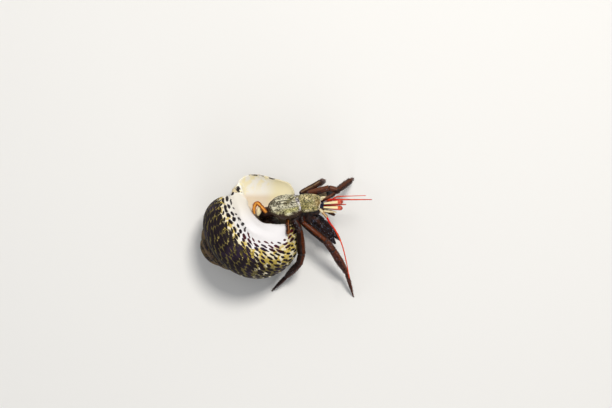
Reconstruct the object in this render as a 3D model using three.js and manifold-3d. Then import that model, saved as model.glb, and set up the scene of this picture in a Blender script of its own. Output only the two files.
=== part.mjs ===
import * as THREE from 'three';
import { LoftGeometry } from 'three/addons/geometries/LoftGeometry.js';
import { mergeVertices } from 'three/addons/utils/BufferGeometryUtils.js';
import Module from 'manifold-3d';

// A hermit crab that has come out of a top shell, life size, in millimetres.
// +Z is up and the floor is z = 0. The crab faces +X, so its left side is +Y.

const wasm = await Module();
wasm.setup();
const degree = Math.PI / 180;
const gap = 0.3; // clear space between neighbouring pieces

// Where the middle of the whole model falls, in the frame the sizes below are given in.
const middle = new THREE.Vector3(-5.2, -8.34, 0);
const at = (x, y, z) => new THREE.Vector3(x, y, z).sub(middle);

const colours = {
  shellPale: 0xcfc08a,
  shellDark: 0x5d4f4a,
  carapace: 0x8d8a6c,
  shield: 0x9a9560,
  softBody: 0x8a6a58,
  eyestalk: 0xe6cf9a,
  eye: 0x3a2620,
  antenna: 0xc8341c,
  leg: 0x6b3524,
  darkLeg: 0x3c2320,
  smallLeg: 0xc4803c,
};

const shell = {
  growth: 1.615, // size of one whorl over the one before
  reach: 7.95, // axis to the middle of the tube, at the lip
  halfWide: 7.45, // tube, across the axis
  halfTall: 6.33, // tube, along the axis
  drop: 21.08, // apex to the middle of the tube, at the lip
  lean: -25.9 * degree, // turn of the tube's own section
  fill: 0.09, // fuller shoulder, so the whorls meet in a shallow seam
  fillAt: 72 * degree,
  fillSpread: 34 * degree,
  lift: 0.86, // extra height of the spire
  lipSweep: 0.88, // how far the lip runs ahead at the suture and back at the base
  wall: 0.95,
  padWide: 2.7, // smooth pad that closes the navel
  padTall: 1.3,
  padAt: -17.6,
  tipTilt: 53.8 * degree, // base normal away from upright
  tipTowards: 29.85 * degree, // bearing of that tilt
  spin: -280.8 * degree, // turn about its own axis
  base: at(-8.12, -2.63, 16.46), // where the axis leaves the base
  firstAngle: -6.3 * Math.PI, // where the oldest whorl starts
  hollowAngle: -2.9, // how far back the mouth is open
  facet: 0.14, // flatness allowed when the surface is made of fewer faces
  spireAt: -10.2, // height of the cut between spire and body whorl, below the apex
};
shell.rate = Math.log(shell.growth) / (2 * Math.PI);

const model = new THREE.Group();
model.name = 'hermit_crab';

function addSolid(name, geometry, colour, roughness = 0.6) {
  const material = new THREE.MeshStandardMaterial({ color: colour, roughness, metalness: 0 });
  const mesh = new THREE.Mesh(geometry, material);
  mesh.name = name;
  model.add(mesh);
  return mesh;
}

function toManifold(geometry) {
  const plain = new THREE.BufferGeometry();
  plain.setAttribute('position', geometry.attributes.position);
  plain.setIndex(geometry.index);
  const merged = mergeVertices(plain, 1e-4);
  const mesh = new wasm.Mesh({
    numProp: 3,
    vertProperties: new Float32Array(merged.attributes.position.array),
    triVerts: new Uint32Array(merged.index.array),
  });
  return new wasm.Manifold(mesh);
}

function toGeometry(solid) {
  const mesh = solid.getMesh();
  const geometry = new THREE.BufferGeometry();
  const places = new THREE.Float32BufferAttribute(mesh.vertProperties, 3);
  geometry.setAttribute('position', places);
  geometry.setIndex(new THREE.Uint32BufferAttribute(mesh.triVerts, 1));
  geometry.computeVertexNormals();
  return geometry;
}

const floorBox = new THREE.BoxGeometry(160, 160, 12);
floorBox.translate(0, 0, -6);
const floor = toManifold(floorBox);

// ---- shell ----
function whorlPoint(angle, around, inset) {
  const size = Math.exp(shell.rate * angle);
  const away = Math.atan2(Math.sin(around - shell.fillAt), Math.cos(around - shell.fillAt));
  const fuller = 1 + shell.fill * Math.exp(-((away / shell.fillSpread) ** 2));
  const out = (shell.halfWide - inset) * Math.cos(around) * fuller;
  const along = (shell.halfTall - inset) * Math.sin(around) * fuller;
  const cos = Math.cos(shell.lean);
  const sin = Math.sin(shell.lean);
  const radius = (shell.reach + out * cos - along * sin) * size;
  const lift = shell.lift * Math.max(0, 1 - size) ** 1.5;
  const height = (-shell.drop + out * sin + along * cos) * size + lift;
  const bearing = shell.spin - angle;
  return new THREE.Vector3(radius * Math.cos(bearing), radius * Math.sin(bearing), height);
}

const lipAngle = (around) => shell.lipSweep * Math.sin(around);

const shellTurn = new THREE.Matrix4();
const shellUp = new THREE.Vector3(
  Math.sin(shell.tipTilt) * Math.cos(shell.tipTowards),
  Math.sin(shell.tipTilt) * Math.sin(shell.tipTowards),
  Math.cos(shell.tipTilt),
);
const shellAxis = shellUp.clone().negate();
const shellAcross = new THREE.Vector3(-Math.sin(shell.tipTowards), Math.cos(shell.tipTowards), 0);
shellTurn.makeBasis(shellAcross, shellAxis.clone().cross(shellAcross), shellAxis);
const baseDepth = -shell.drop - shell.halfTall * 0.95;
const shellPlace = new THREE.Vector3(0, 0, baseDepth).applyMatrix4(shellTurn).negate();
shellPlace.add(shell.base);

function toWorld(geometry) {
  geometry.applyMatrix4(shellTurn);
  geometry.translate(shellPlace.x, shellPlace.y, shellPlace.z);
  return geometry;
}

function tube(from, to, inset, steps, sides, hasLip = false) {
  const rings = [];
  for (let i = 0; i <= steps; i += 1) {
    const share = i / steps;
    const ring = [];
    for (let j = 0; j < sides; j += 1) {
      const around = (j / sides) * 2 * Math.PI;
      const end = hasLip ? lipAngle(around) + to : to;
      ring.push(whorlPoint(from + (end - from) * share, around, inset));
    }
    rings.push(ring);
  }
  return toManifold(toWorld(new LoftGeometry(rings, { capStart: true, capEnd: true })));
}

function whorls(from, to, sides, perRadian) {
  const step = Math.PI * 0.8;
  let solid = null;
  for (let angle = from; angle < to - 0.01; angle += step) {
    const stop = Math.min(angle + step, to);
    const steps = Math.max(3, Math.round((stop - angle) * perRadian));
    const piece = tube(angle - 0.04, stop, 0, steps, sides);
    solid = solid ? solid.add(piece) : piece;
  }
  return solid;
}

const oldest = whorls(shell.firstAngle, -11.5, 10, 1.9);
const earlier = oldest.add(whorls(-11.5, -2 * Math.PI + 1.7, 14, 1.9));
const later = whorls(-2 * Math.PI + 1.7, -1.6, 20, 2.5);
const last = tube(-1.7, 0, 0, 5, 22, true);
const core = new THREE.ConeGeometry(1.35, 16, 12, 1);
core.rotateX(Math.PI / 2);
core.translate(0, 0, -11);
const pad = new THREE.SphereGeometry(1, 16, 10);
pad.scale(shell.padWide, shell.padWide, shell.padTall);
pad.translate(0, 0, shell.padAt);
const pillar = toManifold(toWorld(core)).add(toManifold(toWorld(pad)));
const hollow = tube(shell.hollowAngle, 0.35, shell.wall, 9, 20, true);
const room = hollow.subtract(earlier).subtract(pillar);
const wholeShell = earlier.add(later).add(last).add(pillar).subtract(room).subtract(floor);

function slab(low, high) {
  const box = new THREE.BoxGeometry(90, 90, high - low);
  box.translate(0, 0, (low + high) / 2);
  return toManifold(toWorld(box));
}
const bodyWhorl = wholeShell.intersect(slab(-45, shell.spireAt - gap / 2));
const spire = wholeShell.intersect(slab(shell.spireAt + gap / 2, 15));
addSolid('shell_body_whorl', toGeometry(bodyWhorl.simplify(shell.facet)), colours.shellPale, 0.5);
addSolid('shell_spire', toGeometry(spire.simplify(shell.facet)), colours.shellDark, 0.6);

// ---- bodies that run through stations ----
// Each station has its middle, half width, and half height above and below the middle.
function bodyThrough(stations, sides = 12, hint = new THREE.Vector3(0, 0, 1)) {
  const rings = stations.map((station, i) => {
    const before = stations[Math.max(0, i - 1)].middle;
    const after = stations[Math.min(stations.length - 1, i + 1)].middle;
    const along = after.clone().sub(before).normalize();
    const above = hint.clone().addScaledVector(along, -hint.dot(along)).normalize();
    const aside = above.clone().cross(along);
    const ring = [];
    for (let j = 0; j < sides; j += 1) {
      const turn = ((j + 0.5) / sides) * 2 * Math.PI;
      const reach = Math.sin(turn) > 0 ? station.up : station.down;
      const point = station.middle.clone();
      point.addScaledVector(aside, Math.cos(turn) * station.wide);
      point.addScaledVector(above, Math.sin(turn) * reach);
      ring.push(point);
    }
    return ring;
  });
  return new LoftGeometry(rings, { capStart: true, capEnd: true });
}

const station = (middle, wide, up = wide, down = up) => ({ middle, wide, up, down });

// A limb piece between two joints, with rounded ends that stop short of the joints.
function limbPiece(name, colour, from, to, wides, deeps, options = {}) {
  const along = to.clone().sub(from);
  const length = along.length();
  along.normalize();
  const hint = options.hint ?? new THREE.Vector3(0, 0, 1);
  const above = hint.clone().addScaledVector(along, -hint.dot(along)).normalize();
  const aside = above.clone().cross(along);
  const trim = options.trim ?? 0.2;
  const endTrim = options.foot ? -0.25 : 0.2;
  const shares = options.foot ? [0, 0.09, 0.35, 0.65, 0.91, 1] : [0, 0.09, 0.5, 0.91, 1];
  const stations = shares.map((share, i) => {
    const bend = Math.sin(share * Math.PI);
    const place = from.clone().addScaledVector(along, trim + share * (length - trim - endTrim));
    place.addScaledVector(above, bend * (options.rise ?? 0));
    place.addScaledVector(aside, bend * (options.swing ?? 0));
    const tip = options.tip ?? 0.66;
    const blunt = i === 0 ? 0.66 : share === 1 ? tip : 1;
    const mix = (sizes) => {
      const half = share < 0.5 ? share * 2 : share * 2 - 1;
      const first = share < 0.5 ? sizes[0] : sizes[1];
      const next = share < 0.5 ? sizes[1] : sizes[2];
      return (first + (next - first) * half) * blunt;
    };
    return station(place, mix(wides), mix(deeps));
  });
  let geometry = bodyThrough(stations, options.sides ?? 8, hint);
  if (options.foot) {
    geometry = toGeometry(toManifold(geometry).subtract(floor));
  }
  addSolid(name, geometry, colour);
}

// ---- body ----
addSolid('carapace_rear', bodyThrough([
  station(at(-9.2, -1.6, 12.2), 0.9, 0.5, 0.6),
  station(at(-8.2, -1.2, 12.5), 2.0, 1.2, 1.2),
  station(at(-6.7, -0.9, 12.9), 2.85, 1.6, 1.5),
  station(at(-4.7, -0.7, 13.3), 3.1, 1.9, 1.6),
  station(at(-3, -0.4, 13.5), 2.9, 1.9, 1.6),
  station(at(-2, 0, 13.6), 2.5, 1.75, 1.4),
], 18), colours.carapace);
addSolid('carapace_shield', bodyThrough([
  station(at(-1.5, 0, 13.5), 2.15, 1.6, 0.25),
  station(at(-0.6, 0.2, 13.5), 2.3, 1.85, 0.3),
  station(at(1, 0.3, 13.4), 2.25, 1.85, 0.3),
  station(at(2.5, 0.3, 13.2), 2.05, 1.5, 0.3),
  station(at(3.3, 0.2, 13), 1.6, 0.8, 0.25),
], 18), colours.shield, 0.45);
addSolid('thorax', bodyThrough([
  station(at(-1.4, -0.1, 11.7), 1.5, 0.9, 1.1),
  station(at(-0.5, 0.1, 11.5), 1.9, 1.2, 1.4),
  station(at(1.5, 0.2, 11.4), 1.9, 1.2, 1.5),
  station(at(3.2, 0.2, 11.4), 1.3, 0.9, 1.2),
], 14), colours.softBody);
addSolid('abdomen', bodyThrough([
  station(at(-6.8, -1.6, 9.8), 1.2, 0.8),
  station(at(-8, -1.8, 9.7), 1.7, 1.1),
  station(at(-9.6, -2, 9.5), 1.7, 1.3),
  station(at(-10.7, -2.3, 8.1), 1.5, 1.35),
  station(at(-10.4, -3, 6.3), 1.5, 1.45),
  station(at(-9.1, -4.4, 5.5), 2.0, 2.0),
  station(at(-8.2, -6.3, 6.2), 2.4, 2.4),
  station(at(-8.2, -8.8, 8), 2.5, 2.5),
  station(at(-9.6, -11.4, 10.2), 2.0, 2.0),
  station(at(-11.5, -12.2, 12), 1.0, 1.0),
], 14, new THREE.Vector3(0.6, -0.5, 0.62)), colours.softBody);
addSolid('head', bodyThrough([
  station(at(3.7, -0.2, 12.3), 0.85, 0.5, 0.9),
  station(at(3.9, -0.3, 12.4), 0.85, 0.6, 1.0),
  station(at(4.1, -0.3, 12.5), 0.7, 0.5, 0.8),
], 12), colours.softBody);

// ---- eyes and feelers ----
const eyeSizes = { stalk: [0.36, 0.5, 0.58], eye: [0.58, 0.58, 0.45] };
function eye(side, from, to, tip) {
  const { stalk, eye: ball } = eyeSizes;
  limbPiece('eyestalk_' + side, colours.eyestalk, from, to, stalk, stalk);
  limbPiece('eye_' + side, colours.eye, to, tip, ball, ball, { trim: 0.1 });
}
eye('left', at(4.3, 0.1, 13.2), at(8.1, 0.4, 13.7), at(9.2, 0.6, 13.9));
eye('right', at(4.3, -0.9, 13.1), at(8.1, -1, 13.4), at(9.1, -1.1, 13.5));

function feeler(name, colour, points, wides) {
  const curve = new THREE.CatmullRomCurve3(points);
  const steps = 3 * (points.length - 1);
  const stations = [];
  for (let i = 0; i <= steps; i += 1) {
    const share = i / steps;
    const place = share * (wides.length - 1);
    const low = Math.min(Math.floor(place), wides.length - 2);
    const wide = wides[low] + (wides[low + 1] - wides[low]) * (place - low);
    stations.push(station(curve.getPoint(share), wide));
  }
  addSolid(name, bodyThrough(stations, 8), colour);
}
const peduncle = [0.42, 0.42, 0.36];
limbPiece('antenna_left_base', colours.antenna, at(3.9, 1.2, 12), at(6, 1.1, 12), peduncle, peduncle);
feeler('antenna_left_flagellum', colours.antenna, [
  at(6.1, 1.1, 12.1),
  at(9, 1.1, 12.3),
  at(12.5, 1.1, 12.8),
  at(16.4, 1.1, 13.6),
], [0.36, 0.3, 0.26, 0.25]);
limbPiece('antenna_right_base', colours.antenna, at(3.7, -1.5, 12.2), at(5.2, -3.2, 11.8),
  peduncle, peduncle);
feeler('antenna_right_flagellum', colours.antenna, [
  at(5.3, -3.4, 11.8),
  at(5.9, -4.6, 11.9),
  at(7.4, -6.7, 12.2),
  at(9, -10.2, 12.2),
  at(10.1, -14.5, 11.4),
  at(10.9, -18.6, 10.2),
], [0.36, 0.32, 0.28, 0.26, 0.25]);
feeler('antennule_left', colours.antenna, [
  at(4.6, 0.2, 11.2),
  at(6.3, 0.9, 11.2),
  at(7.8, 1.8, 11.4),
  at(11.5, 2, 12),
  at(15, 2.1, 12.8),
], [0.3, 0.28, 0.26, 0.25]);
feeler('antennule_right', colours.antenna, [
  at(4.6, -0.4, 11.7),
  at(6.3, -0.3, 11.7),
  at(8, -0.2, 12.1),
  at(10, -0.1, 13.4),
], [0.3, 0.27, 0.25]);
feeler('maxilliped_left', colours.leg, [
  at(4.1, 0.4, 10.5),
  at(5.8, 1.7, 10.2),
  at(7.3, 2.7, 9.8),
  at(8.1, 2.8, 9.5),
], [0.38, 0.42, 0.42, 0.3]);
feeler('maxilliped_right', colours.leg, [
  at(4.1, -1.2, 10.9),
  at(5.5, -1.9, 10.6),
  at(7.2, -2.8, 10.2),
], [0.42, 0.52, 0.36]);

// ---- claws ----
function claw(side, joints, sizes) {
  const name = 'claw_' + side;
  const { merus, carpus, palm, finger, hint } = sizes;
  const plate = (part, from, to, size, options) => {
    const deeps = size.slice(0, 3).map((wide) => wide * size[3]);
    limbPiece(`${name}_${part}`, colours.darkLeg, from, to, size.slice(0, 3), deeps, options);
  };
  plate('merus', joints.hip, joints.knee, merus);
  plate('carpus', joints.knee, joints.wrist, carpus);
  plate('palm', joints.wrist, joints.hand, palm, { tip: 0.8, sides: 12, hint, trim: sizes.palmTrim });
  plate('fixed_finger', joints.fixedRoot, joints.fixedTip, finger, { hint });
  plate('moving_finger', joints.movingRoot, joints.movingTip, finger, { hint });
}
claw('right', {
  hip: at(0.4, -2.2, 9.3),
  knee: at(2.1, -3.6, 9),
  wrist: at(3.6, -4.9, 8.5),
  hand: at(6.2, -7.7, 7.2),
  fixedRoot: at(6, -8.4, 7.2),
  fixedTip: at(7.5, -10.1, 6),
  movingRoot: at(7.1, -7.4, 7),
  movingTip: at(8.7, -9.2, 5.7),
}, {
  merus: [1.1, 1.45, 1.45, 0.75],
  carpus: [1.4, 1.65, 1.55, 0.72],
  palm: [1.5, 1.85, 1.6, 0.68],
  finger: [0.74, 0.68, 0.3, 1],
  hint: new THREE.Vector3(0, 0, 1),
});
claw('left', {
  hip: at(1.3, 1.9, 8.8),
  knee: at(3.1, 2.4, 8.9),
  wrist: at(5.1, 2.6, 8.6),
  hand: at(6.6, 2.9, 4.3),
  fixedRoot: at(6.9, 2.4, 4.1),
  fixedTip: at(7.2, 2.4, 1.5),
  movingRoot: at(6.7, 3.5, 4.1),
  movingTip: at(7.1, 3.2, 1.5),
}, {
  merus: [0.7, 0.85, 0.9, 0.94],
  carpus: [0.85, 1.0, 1.0, 0.8],
  palm: [0.9, 1.25, 1.1, 0.82],
  finger: [0.5, 0.45, 0.27, 1],
  hint: new THREE.Vector3(1, 0, 0),
  palmTrim: 0.45,
});

// ---- walking legs ----
// Each leg has five joints from the trunk to the floor, and four plates between them.
// A plate's sizes are its half width near the body, in the middle and at its far end, and its depth share.
function walkingLeg(name, joints, sizes, options = {}) {
  const parts = ['merus', 'carpus', 'propodus', 'dactyl'];
  parts.forEach((part, i) => {
    const wides = sizes[part].slice(0, 3);
    const deeps = wides.map((wide) => wide * (sizes[part][3] ?? 1));
    const more = part === 'propodus' ? { trim: options.bend } : {};
    if (part === 'dactyl') Object.assign(more, { foot: true, tip: 0.9, rise: options.curl ?? 0.5 });
    const colour = i < 2 ? colours.leg : colours.darkLeg;
    limbPiece(`${name}_${part}`, colour, joints[i], joints[i + 1], wides, deeps, more);
  });
}
limbPiece('leg_2_right_ischium', colours.leg, at(-1.3, -1.8, 10.4), at(-1, -4.3, 10.9),
  [0.9, 0.95, 0.85], [0.75, 0.85, 0.75]);
walkingLeg('leg_2_right', [
  at(-0.9, -4.5, 11),
  at(5, -9.3, 10.8),
  at(6.7, -11.6, 9.9),
  at(10.3, -17.4, 4.7),
  at(12.2, -23.9, 0),
], {
  merus: [0.8, 1.0, 0.95, 1.1],
  carpus: [0.92, 0.95, 0.92],
  propodus: [0.92, 1.0, 0.66, 1.1],
  dactyl: [0.54, 0.42, 0.27],
});
limbPiece('leg_3_right_ischium', colours.leg, at(-2.9, -4.2, 12.2), at(-1.7, -6.3, 12.4),
  [0.75, 0.8, 0.75], [0.7, 0.75, 0.7]);
walkingLeg('leg_3_right', [
  at(-1.6, -6.4, 12.4),
  at(-1.1, -12.6, 9.8),
  at(-1.7, -15, 8.2),
  at(-4.9, -18.4, 4.2),
  at(-8.8, -22.3, 0),
], {
  merus: [0.78, 1.05, 0.98, 1.1],
  carpus: [0.92, 0.95, 0.88],
  propodus: [0.86, 0.9, 0.62],
  dactyl: [0.52, 0.43, 0.27],
});
walkingLeg('leg_2_left', [
  at(0.6, 2.7, 10.9),
  at(5.9, 4, 11.8),
  at(7.8, 3.4, 11.7),
  at(11.2, 5.9, 7.5),
  at(11.9, 6.4, 0),
], {
  merus: [0.68, 0.8, 0.76],
  carpus: [0.7, 0.75, 0.7],
  propodus: [0.68, 0.82, 0.64],
  dactyl: [0.5, 0.42, 0.27],
}, { curl: 0.3, bend: 0.4 });
walkingLeg('leg_3_left', [
  at(-1.1, 2.8, 9.8),
  at(2, 4.5, 10.2),
  at(3.6, 5.5, 10.1),
  at(4.5, 5.8, 4.6),
  at(3.8, 5, 0),
], {
  merus: [0.7, 0.75, 0.7],
  carpus: [0.7, 0.72, 0.66],
  propodus: [0.62, 0.7, 0.55],
  dactyl: [0.48, 0.42, 0.27],
}, { curl: 0.3, bend: 0.5 });

// ---- small rear legs ----
feeler('leg_4_right', colours.smallLeg, [
  at(-4.6, -4.2, 12.5),
  at(-4.5, -5.3, 13.3),
  at(-4.4, -6.4, 13.6),
  at(-4.5, -7.5, 13.4),
], [0.4, 0.5, 0.5, 0.35]);
feeler('leg_4_left', colours.smallLeg, [
  at(-5.3, 1.5, 11.4),
  at(-6.2, 2.4, 10.2),
  at(-6.8, 2.9, 8.2),
], [0.4, 0.45, 0.35]);
feeler('leg_5_right', colours.smallLeg, [
  at(-10.2, -1.9, 11.6),
  at(-11.3, -0.5, 11.4),
  at(-12.3, 0.2, 11.2),
  at(-13, -0.9, 11),
  at(-12.9, -2.4, 10.9),
], [0.34, 0.4, 0.42, 0.4, 0.3]);
feeler('leg_5_left', colours.smallLeg, [
  at(-9.1, 0, 10.9),
  at(-9.9, 0.9, 9.4),
  at(-10.5, 1.5, 7.2),
], [0.34, 0.4, 0.3]);

export default model;
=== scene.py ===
import random
from math import atan2, cos, degrees, e, exp, hypot, log, pi, radians, sin, sqrt

import bmesh
import bpy
from mathutils import Matrix, Vector, noise


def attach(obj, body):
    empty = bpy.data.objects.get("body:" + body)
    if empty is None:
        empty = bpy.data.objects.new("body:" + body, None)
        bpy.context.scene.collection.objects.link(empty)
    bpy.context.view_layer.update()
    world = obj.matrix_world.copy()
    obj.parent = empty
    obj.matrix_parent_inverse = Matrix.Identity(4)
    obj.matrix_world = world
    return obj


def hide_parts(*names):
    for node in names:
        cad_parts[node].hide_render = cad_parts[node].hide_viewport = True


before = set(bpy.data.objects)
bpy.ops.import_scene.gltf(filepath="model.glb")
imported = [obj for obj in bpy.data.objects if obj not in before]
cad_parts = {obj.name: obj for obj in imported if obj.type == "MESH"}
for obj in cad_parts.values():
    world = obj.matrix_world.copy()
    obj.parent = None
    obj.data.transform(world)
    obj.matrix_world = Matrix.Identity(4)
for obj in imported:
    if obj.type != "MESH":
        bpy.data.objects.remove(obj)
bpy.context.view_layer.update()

mm = 0.001
middle = Vector((-5.2, -8.34, 0))
up = Vector((0, 0, 1))


def at(x, y, z):
    return Vector((x, y, z)) - middle


def places(rows):
    return [at(*row) for row in rows]


def smoothStep(value, low, high):
    share = min(1, max(0, (value - low) / (high - low)))
    return share * share * (3 - 2 * share)


def bump(value, where, halfWide, height=1):
    # a smooth rise around one value
    return exp(-((value - where) / halfWide) ** 2) * height


# a value or colour on its way through a material, so that sums of it can be written as sums
class Field:
    def __init__(self, socket):
        self.socket, self.tree = socket, socket.id_data

    def calc(self, operation, *others):
        return take(self.tree, "Math", dict(enumerate((self, *others))), operation=operation)

    def __add__(self, other):
        return self.calc("ADD", other)

    def __sub__(self, other):
        return self.calc("SUBTRACT", other)

    def __rsub__(self, other):
        return take(self.tree, "Math", {0: other, 1: self}, operation="SUBTRACT")

    def __mul__(self, other):
        return self.calc("MULTIPLY", other)

    def __truediv__(self, other):
        return self.calc("DIVIDE", other)

    def __abs__(self):
        return self.calc("ABSOLUTE")


def feed(socket, value):
    if isinstance(value, Field):
        socket.id_data.links.new(value.socket, socket)
    else:
        socket.default_value = value


def put(tree, kind, values=None, **settings):
    node = tree.nodes.new("ShaderNode" + kind)
    for key, value in settings.items():
        setattr(node, key, value)
    for key, value in (values or {}).items():
        feed(node.inputs[key], value)
    return node


def take(tree, kind, values=None, output=0, **settings):
    return Field(put(tree, kind, values, **settings).outputs[output])


def split(value, kind="XYZ"):
    return [Field(socket) for socket in put(value.tree, "Separate" + kind, {0: value}).outputs]


def mix(factor, a, b):
    return take(factor.tree, "Mix", {0: factor, 6: a, 7: b}, 2, data_type="RGBA")


def rise(value, low, high):
    return take(value.tree, "MapRange", {"Value": value, "From Min": low, "From Max": high},
                interpolation_type="SMOOTHSTEP")


def fall(value, low, high):
    return 1.0 - rise(value, low, high)


def grain(place, scale, detail=3.0, rough=0.55, distortion=0.0):
    return take(place.tree, "TexNoise", {"Vector": place, "Scale": scale, "Detail": detail,
                                         "Roughness": rough, "Distortion": distortion})


def shifted(value, by, amount):
    return value + (by - 0.5) * amount


def inObject(tree):
    return take(tree, "TexCoord", output="Object")


def mapped(tree, name):
    return split(take(tree, "UVMap", uv_map=name))[:2]


def painted(tree, name):
    return take(tree, "Attribute", output="Fac", attribute_name=name)


def newMaterial(name, roughness=0.4, coat=0.0, coatRoughness=0.15, specular=0.5):
    material = bpy.data.materials.new(name)
    material.use_nodes = True
    shader = material.node_tree.nodes["Principled BSDF"]
    for key, value in {"Roughness": roughness, "Coat Weight": coat, "Coat Roughness": coatRoughness,
                       "Specular IOR Level": specular}.items():
        shader.inputs[key].default_value = value
    return material, material.node_tree, shader


def dress(shader, colour, roughness=None, height=None, depth=0.1):
    feed(shader.inputs["Base Color"], colour)
    if roughness is not None:
        feed(shader.inputs["Roughness"], roughness)
    if height is not None:
        feed(shader.inputs["Normal"],
             take(shader.id_data, "Bump", {"Height": height, "Distance": depth * mm}))


def newGroup(name, inputs, outputs):
    group = bpy.data.node_groups.new(name, "ShaderNodeTree")
    for label, value in inputs.items():
        kind = "NodeSocketColor" if isinstance(value, tuple) else "NodeSocketFloat"
        group.interface.new_socket(label, in_out="INPUT", socket_type=kind).default_value = value
    for label, kind in outputs.items():
        group.interface.new_socket(label, in_out="OUTPUT", socket_type="NodeSocket" + kind)
    given = {socket.name: Field(socket) for socket in group.nodes.new("NodeGroupInput").outputs}
    return group, given, group.nodes.new("NodeGroupOutput")


def buildCrust():
    # mottled and spotted horn with a pale band round each plate, partly a stripe and partly a painted
    # highlight on its lit side, for every plate of the legs and claws
    group, given, out = newGroup("crust", {
        "Main": (0.1, 0.04, 0.02, 1), "Dark": (0.02, 0.01, 0.01, 1), "Stripe": (0.35, 0.12, 0.03, 1),
        "Spot": (0.4, 0.5, 0.7, 1), "Around": 0.0, "Along": 0.0, "Stripe At": 0.25, "Stripe Wide": 0.1,
        "Spots": 0.5, "End": 0.5}, {"Color": "Color", "Roughness": "Float", "Height": "Float"})
    place = inObject(group)
    soft = grain(place, 700, 4, 0.6)
    fine = grain(place, 3600, 3, 0.6)
    # the pale band: partly the plate's own stripe, partly a painted highlight along the side that faces the
    # light
    away = abs(given["Around"] - given["Stripe At"])
    away = shifted(away.calc("MINIMUM", 1.0 - away), soft, 0.12)
    band = fall(away, given["Stripe Wide"] * 0.55, given["Stripe Wide"])
    colour = mix(rise(soft, 0.42, 0.68), given["Main"], given["Dark"])
    colour = mix(band, colour, given["Stripe"])
    # paler hinge lines at both ends of each plate
    ends = fall(given["Along"], 0.0, 0.1).calc("MAXIMUM", rise(given["Along"], 0.92, 1.0))
    colour = mix(ends * given["End"], colour, given["Stripe"])
    cells = put(group, "TexVoronoi", {"Vector": place, "Scale": 1900.0, "Randomness": 0.9}).outputs
    pick = rise(split(Field(cells["Color"]), "Color")[0], 0.45, 0.55)
    dot = fall(Field(cells["Distance"]), 0.14, 0.26) * pick * given["Spots"]
    colour = mix(dot, colour, given["Spot"])
    colour = mix(rise(fine, 0.5, 0.75) * 0.35, colour, given["Dark"])
    feed(out.inputs["Color"], colour)
    feed(out.inputs["Roughness"], soft * 0.25 + 0.30)
    feed(out.inputs["Height"], fine * 0.5 + dot * 0.7 + soft * 0.6)
    return group


crust = buildCrust()


def crustMaterial(name, main, dark, stripe, stripeAt=0.25, stripeWide=0.12, spots=0.6, end=0.35):
    material, tree, shader = newMaterial(name, 0.4, 0.05, 0.2, 0.10)
    along, around = mapped(tree, "length")
    node = put(tree, "Group", {
        "Main": (*main, 1), "Dark": (*dark, 1), "Stripe": (*stripe, 1), "Spot": (0.45, 0.55, 0.75, 1),
        "Along": along, "Around": around, "Stripe At": stripeAt, "Stripe Wide": stripeWide,
        "Spots": spots, "End": end}, node_tree=crust)
    dress(shader, *(Field(node.outputs[label]) for label in ("Color", "Roughness", "Height")), 0.05)
    return material


# small helpers for meshes, which are drawn in millimetres
def loft(bm, rings, material=0):
    # an edge ring is drawn out from station to station, and both ends are closed
    count = len(rings[0])
    layer = bm.loops.layers.uv.get("length") or bm.loops.layers.uv.new("length")
    ring = bmesh.ops.create_circle(bm, segments=count, radius=1, cap_ends=False)["verts"]
    spots, faces = {}, []

    def settle(level):
        for j, vert in enumerate(ring):
            vert.co = rings[level][j]
            spots[vert] = (level / (len(rings) - 1), j)

    def edges():
        return [bm.edges.get((a, b)) for a, b in zip(ring, ring[1:] + ring[:1])]

    settle(0)
    ends = [bmesh.ops.edgeloop_fill(bm, edges=edges())["faces"][0]]
    for level in range(1, len(rings)):
        made = bmesh.ops.extrude_edge_only(bm, edges=edges())["geom"]
        fresh = {item for item in made if isinstance(item, bmesh.types.BMVert)}
        faces += [item for item in made if isinstance(item, bmesh.types.BMFace)]
        ring = [next(edge.other_vert(vert) for edge in vert.link_edges
                     if edge.other_vert(vert) in fresh) for vert in ring]
        settle(level)
    ends.append(bmesh.ops.edgeloop_fill(bm, edges=edges())["faces"][0])
    for face in faces:
        wraps = any(spots[vert][1] == count - 1 for vert in face.verts)
        for corner in face.loops:
            along, j = spots[corner.vert]
            corner[layer].uv = (along, (count if wraps and j == 0 else j) / count)
    for face in ends:
        for corner in face.loops:
            along, j = spots[corner.vert]
            corner[layer].uv = (along, j / count)
    faces += bmesh.ops.poke(bm, faces=ends)["faces"]
    for face in faces:
        face.material_index = material


def ringsThrough(stations, sides, hint=up, shape=None):
    # each station is (middle, half width, half height above, half height below)
    rings = []
    for i, (place, wide, above, below) in enumerate(stations):
        along = (stations[min(i + 1, len(stations) - 1)][0] - stations[max(i - 1, 0)][0]).normalized()
        top = (hint - along * hint.dot(along)).normalized()
        side = top.cross(along)
        ring = []
        for j in range(sides):
            turn = j / sides * 2 * pi
            more = shape(i / (len(stations) - 1), turn) if shape else 1
            reach = above if sin(turn) > 0 else below
            ring.append(place + side * cos(turn) * wide * more + top * sin(turn) * reach * more)
        rings.append(ring)
    return rings


def spline(points, share):
    # a smooth value through evenly spaced numbers or points
    place = share * (len(points) - 1)
    i = min(int(place), len(points) - 2)
    t = place - i
    a, b, c, d = points[max(i - 1, 0)], points[i], points[i + 1], points[min(i + 2, len(points) - 1)]
    return 0.5 * (2 * b + (c - a) * t + (2 * a - 5 * b + 4 * c - d) * t * t
                  + (3 * b - 3 * c + d - a) * t * t * t)


def smoothStations(rows, steps):
    # rows of x, y, z, half width, half height above and half height below, made into many even stations;
    # a half height that is left out is as large as the value before it
    rows = [(at(*row[:3]), row[3], row[min(4, len(row) - 1)], row[-1]) for row in rows]
    return [tuple(spline([row[k] for row in rows], i / steps) for k in range(4)) for i in range(steps + 1)]


def boxy(power):
    return lambda share, turn: (abs(cos(turn)) ** power + abs(sin(turn)) ** power) ** (-1 / power)


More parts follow.
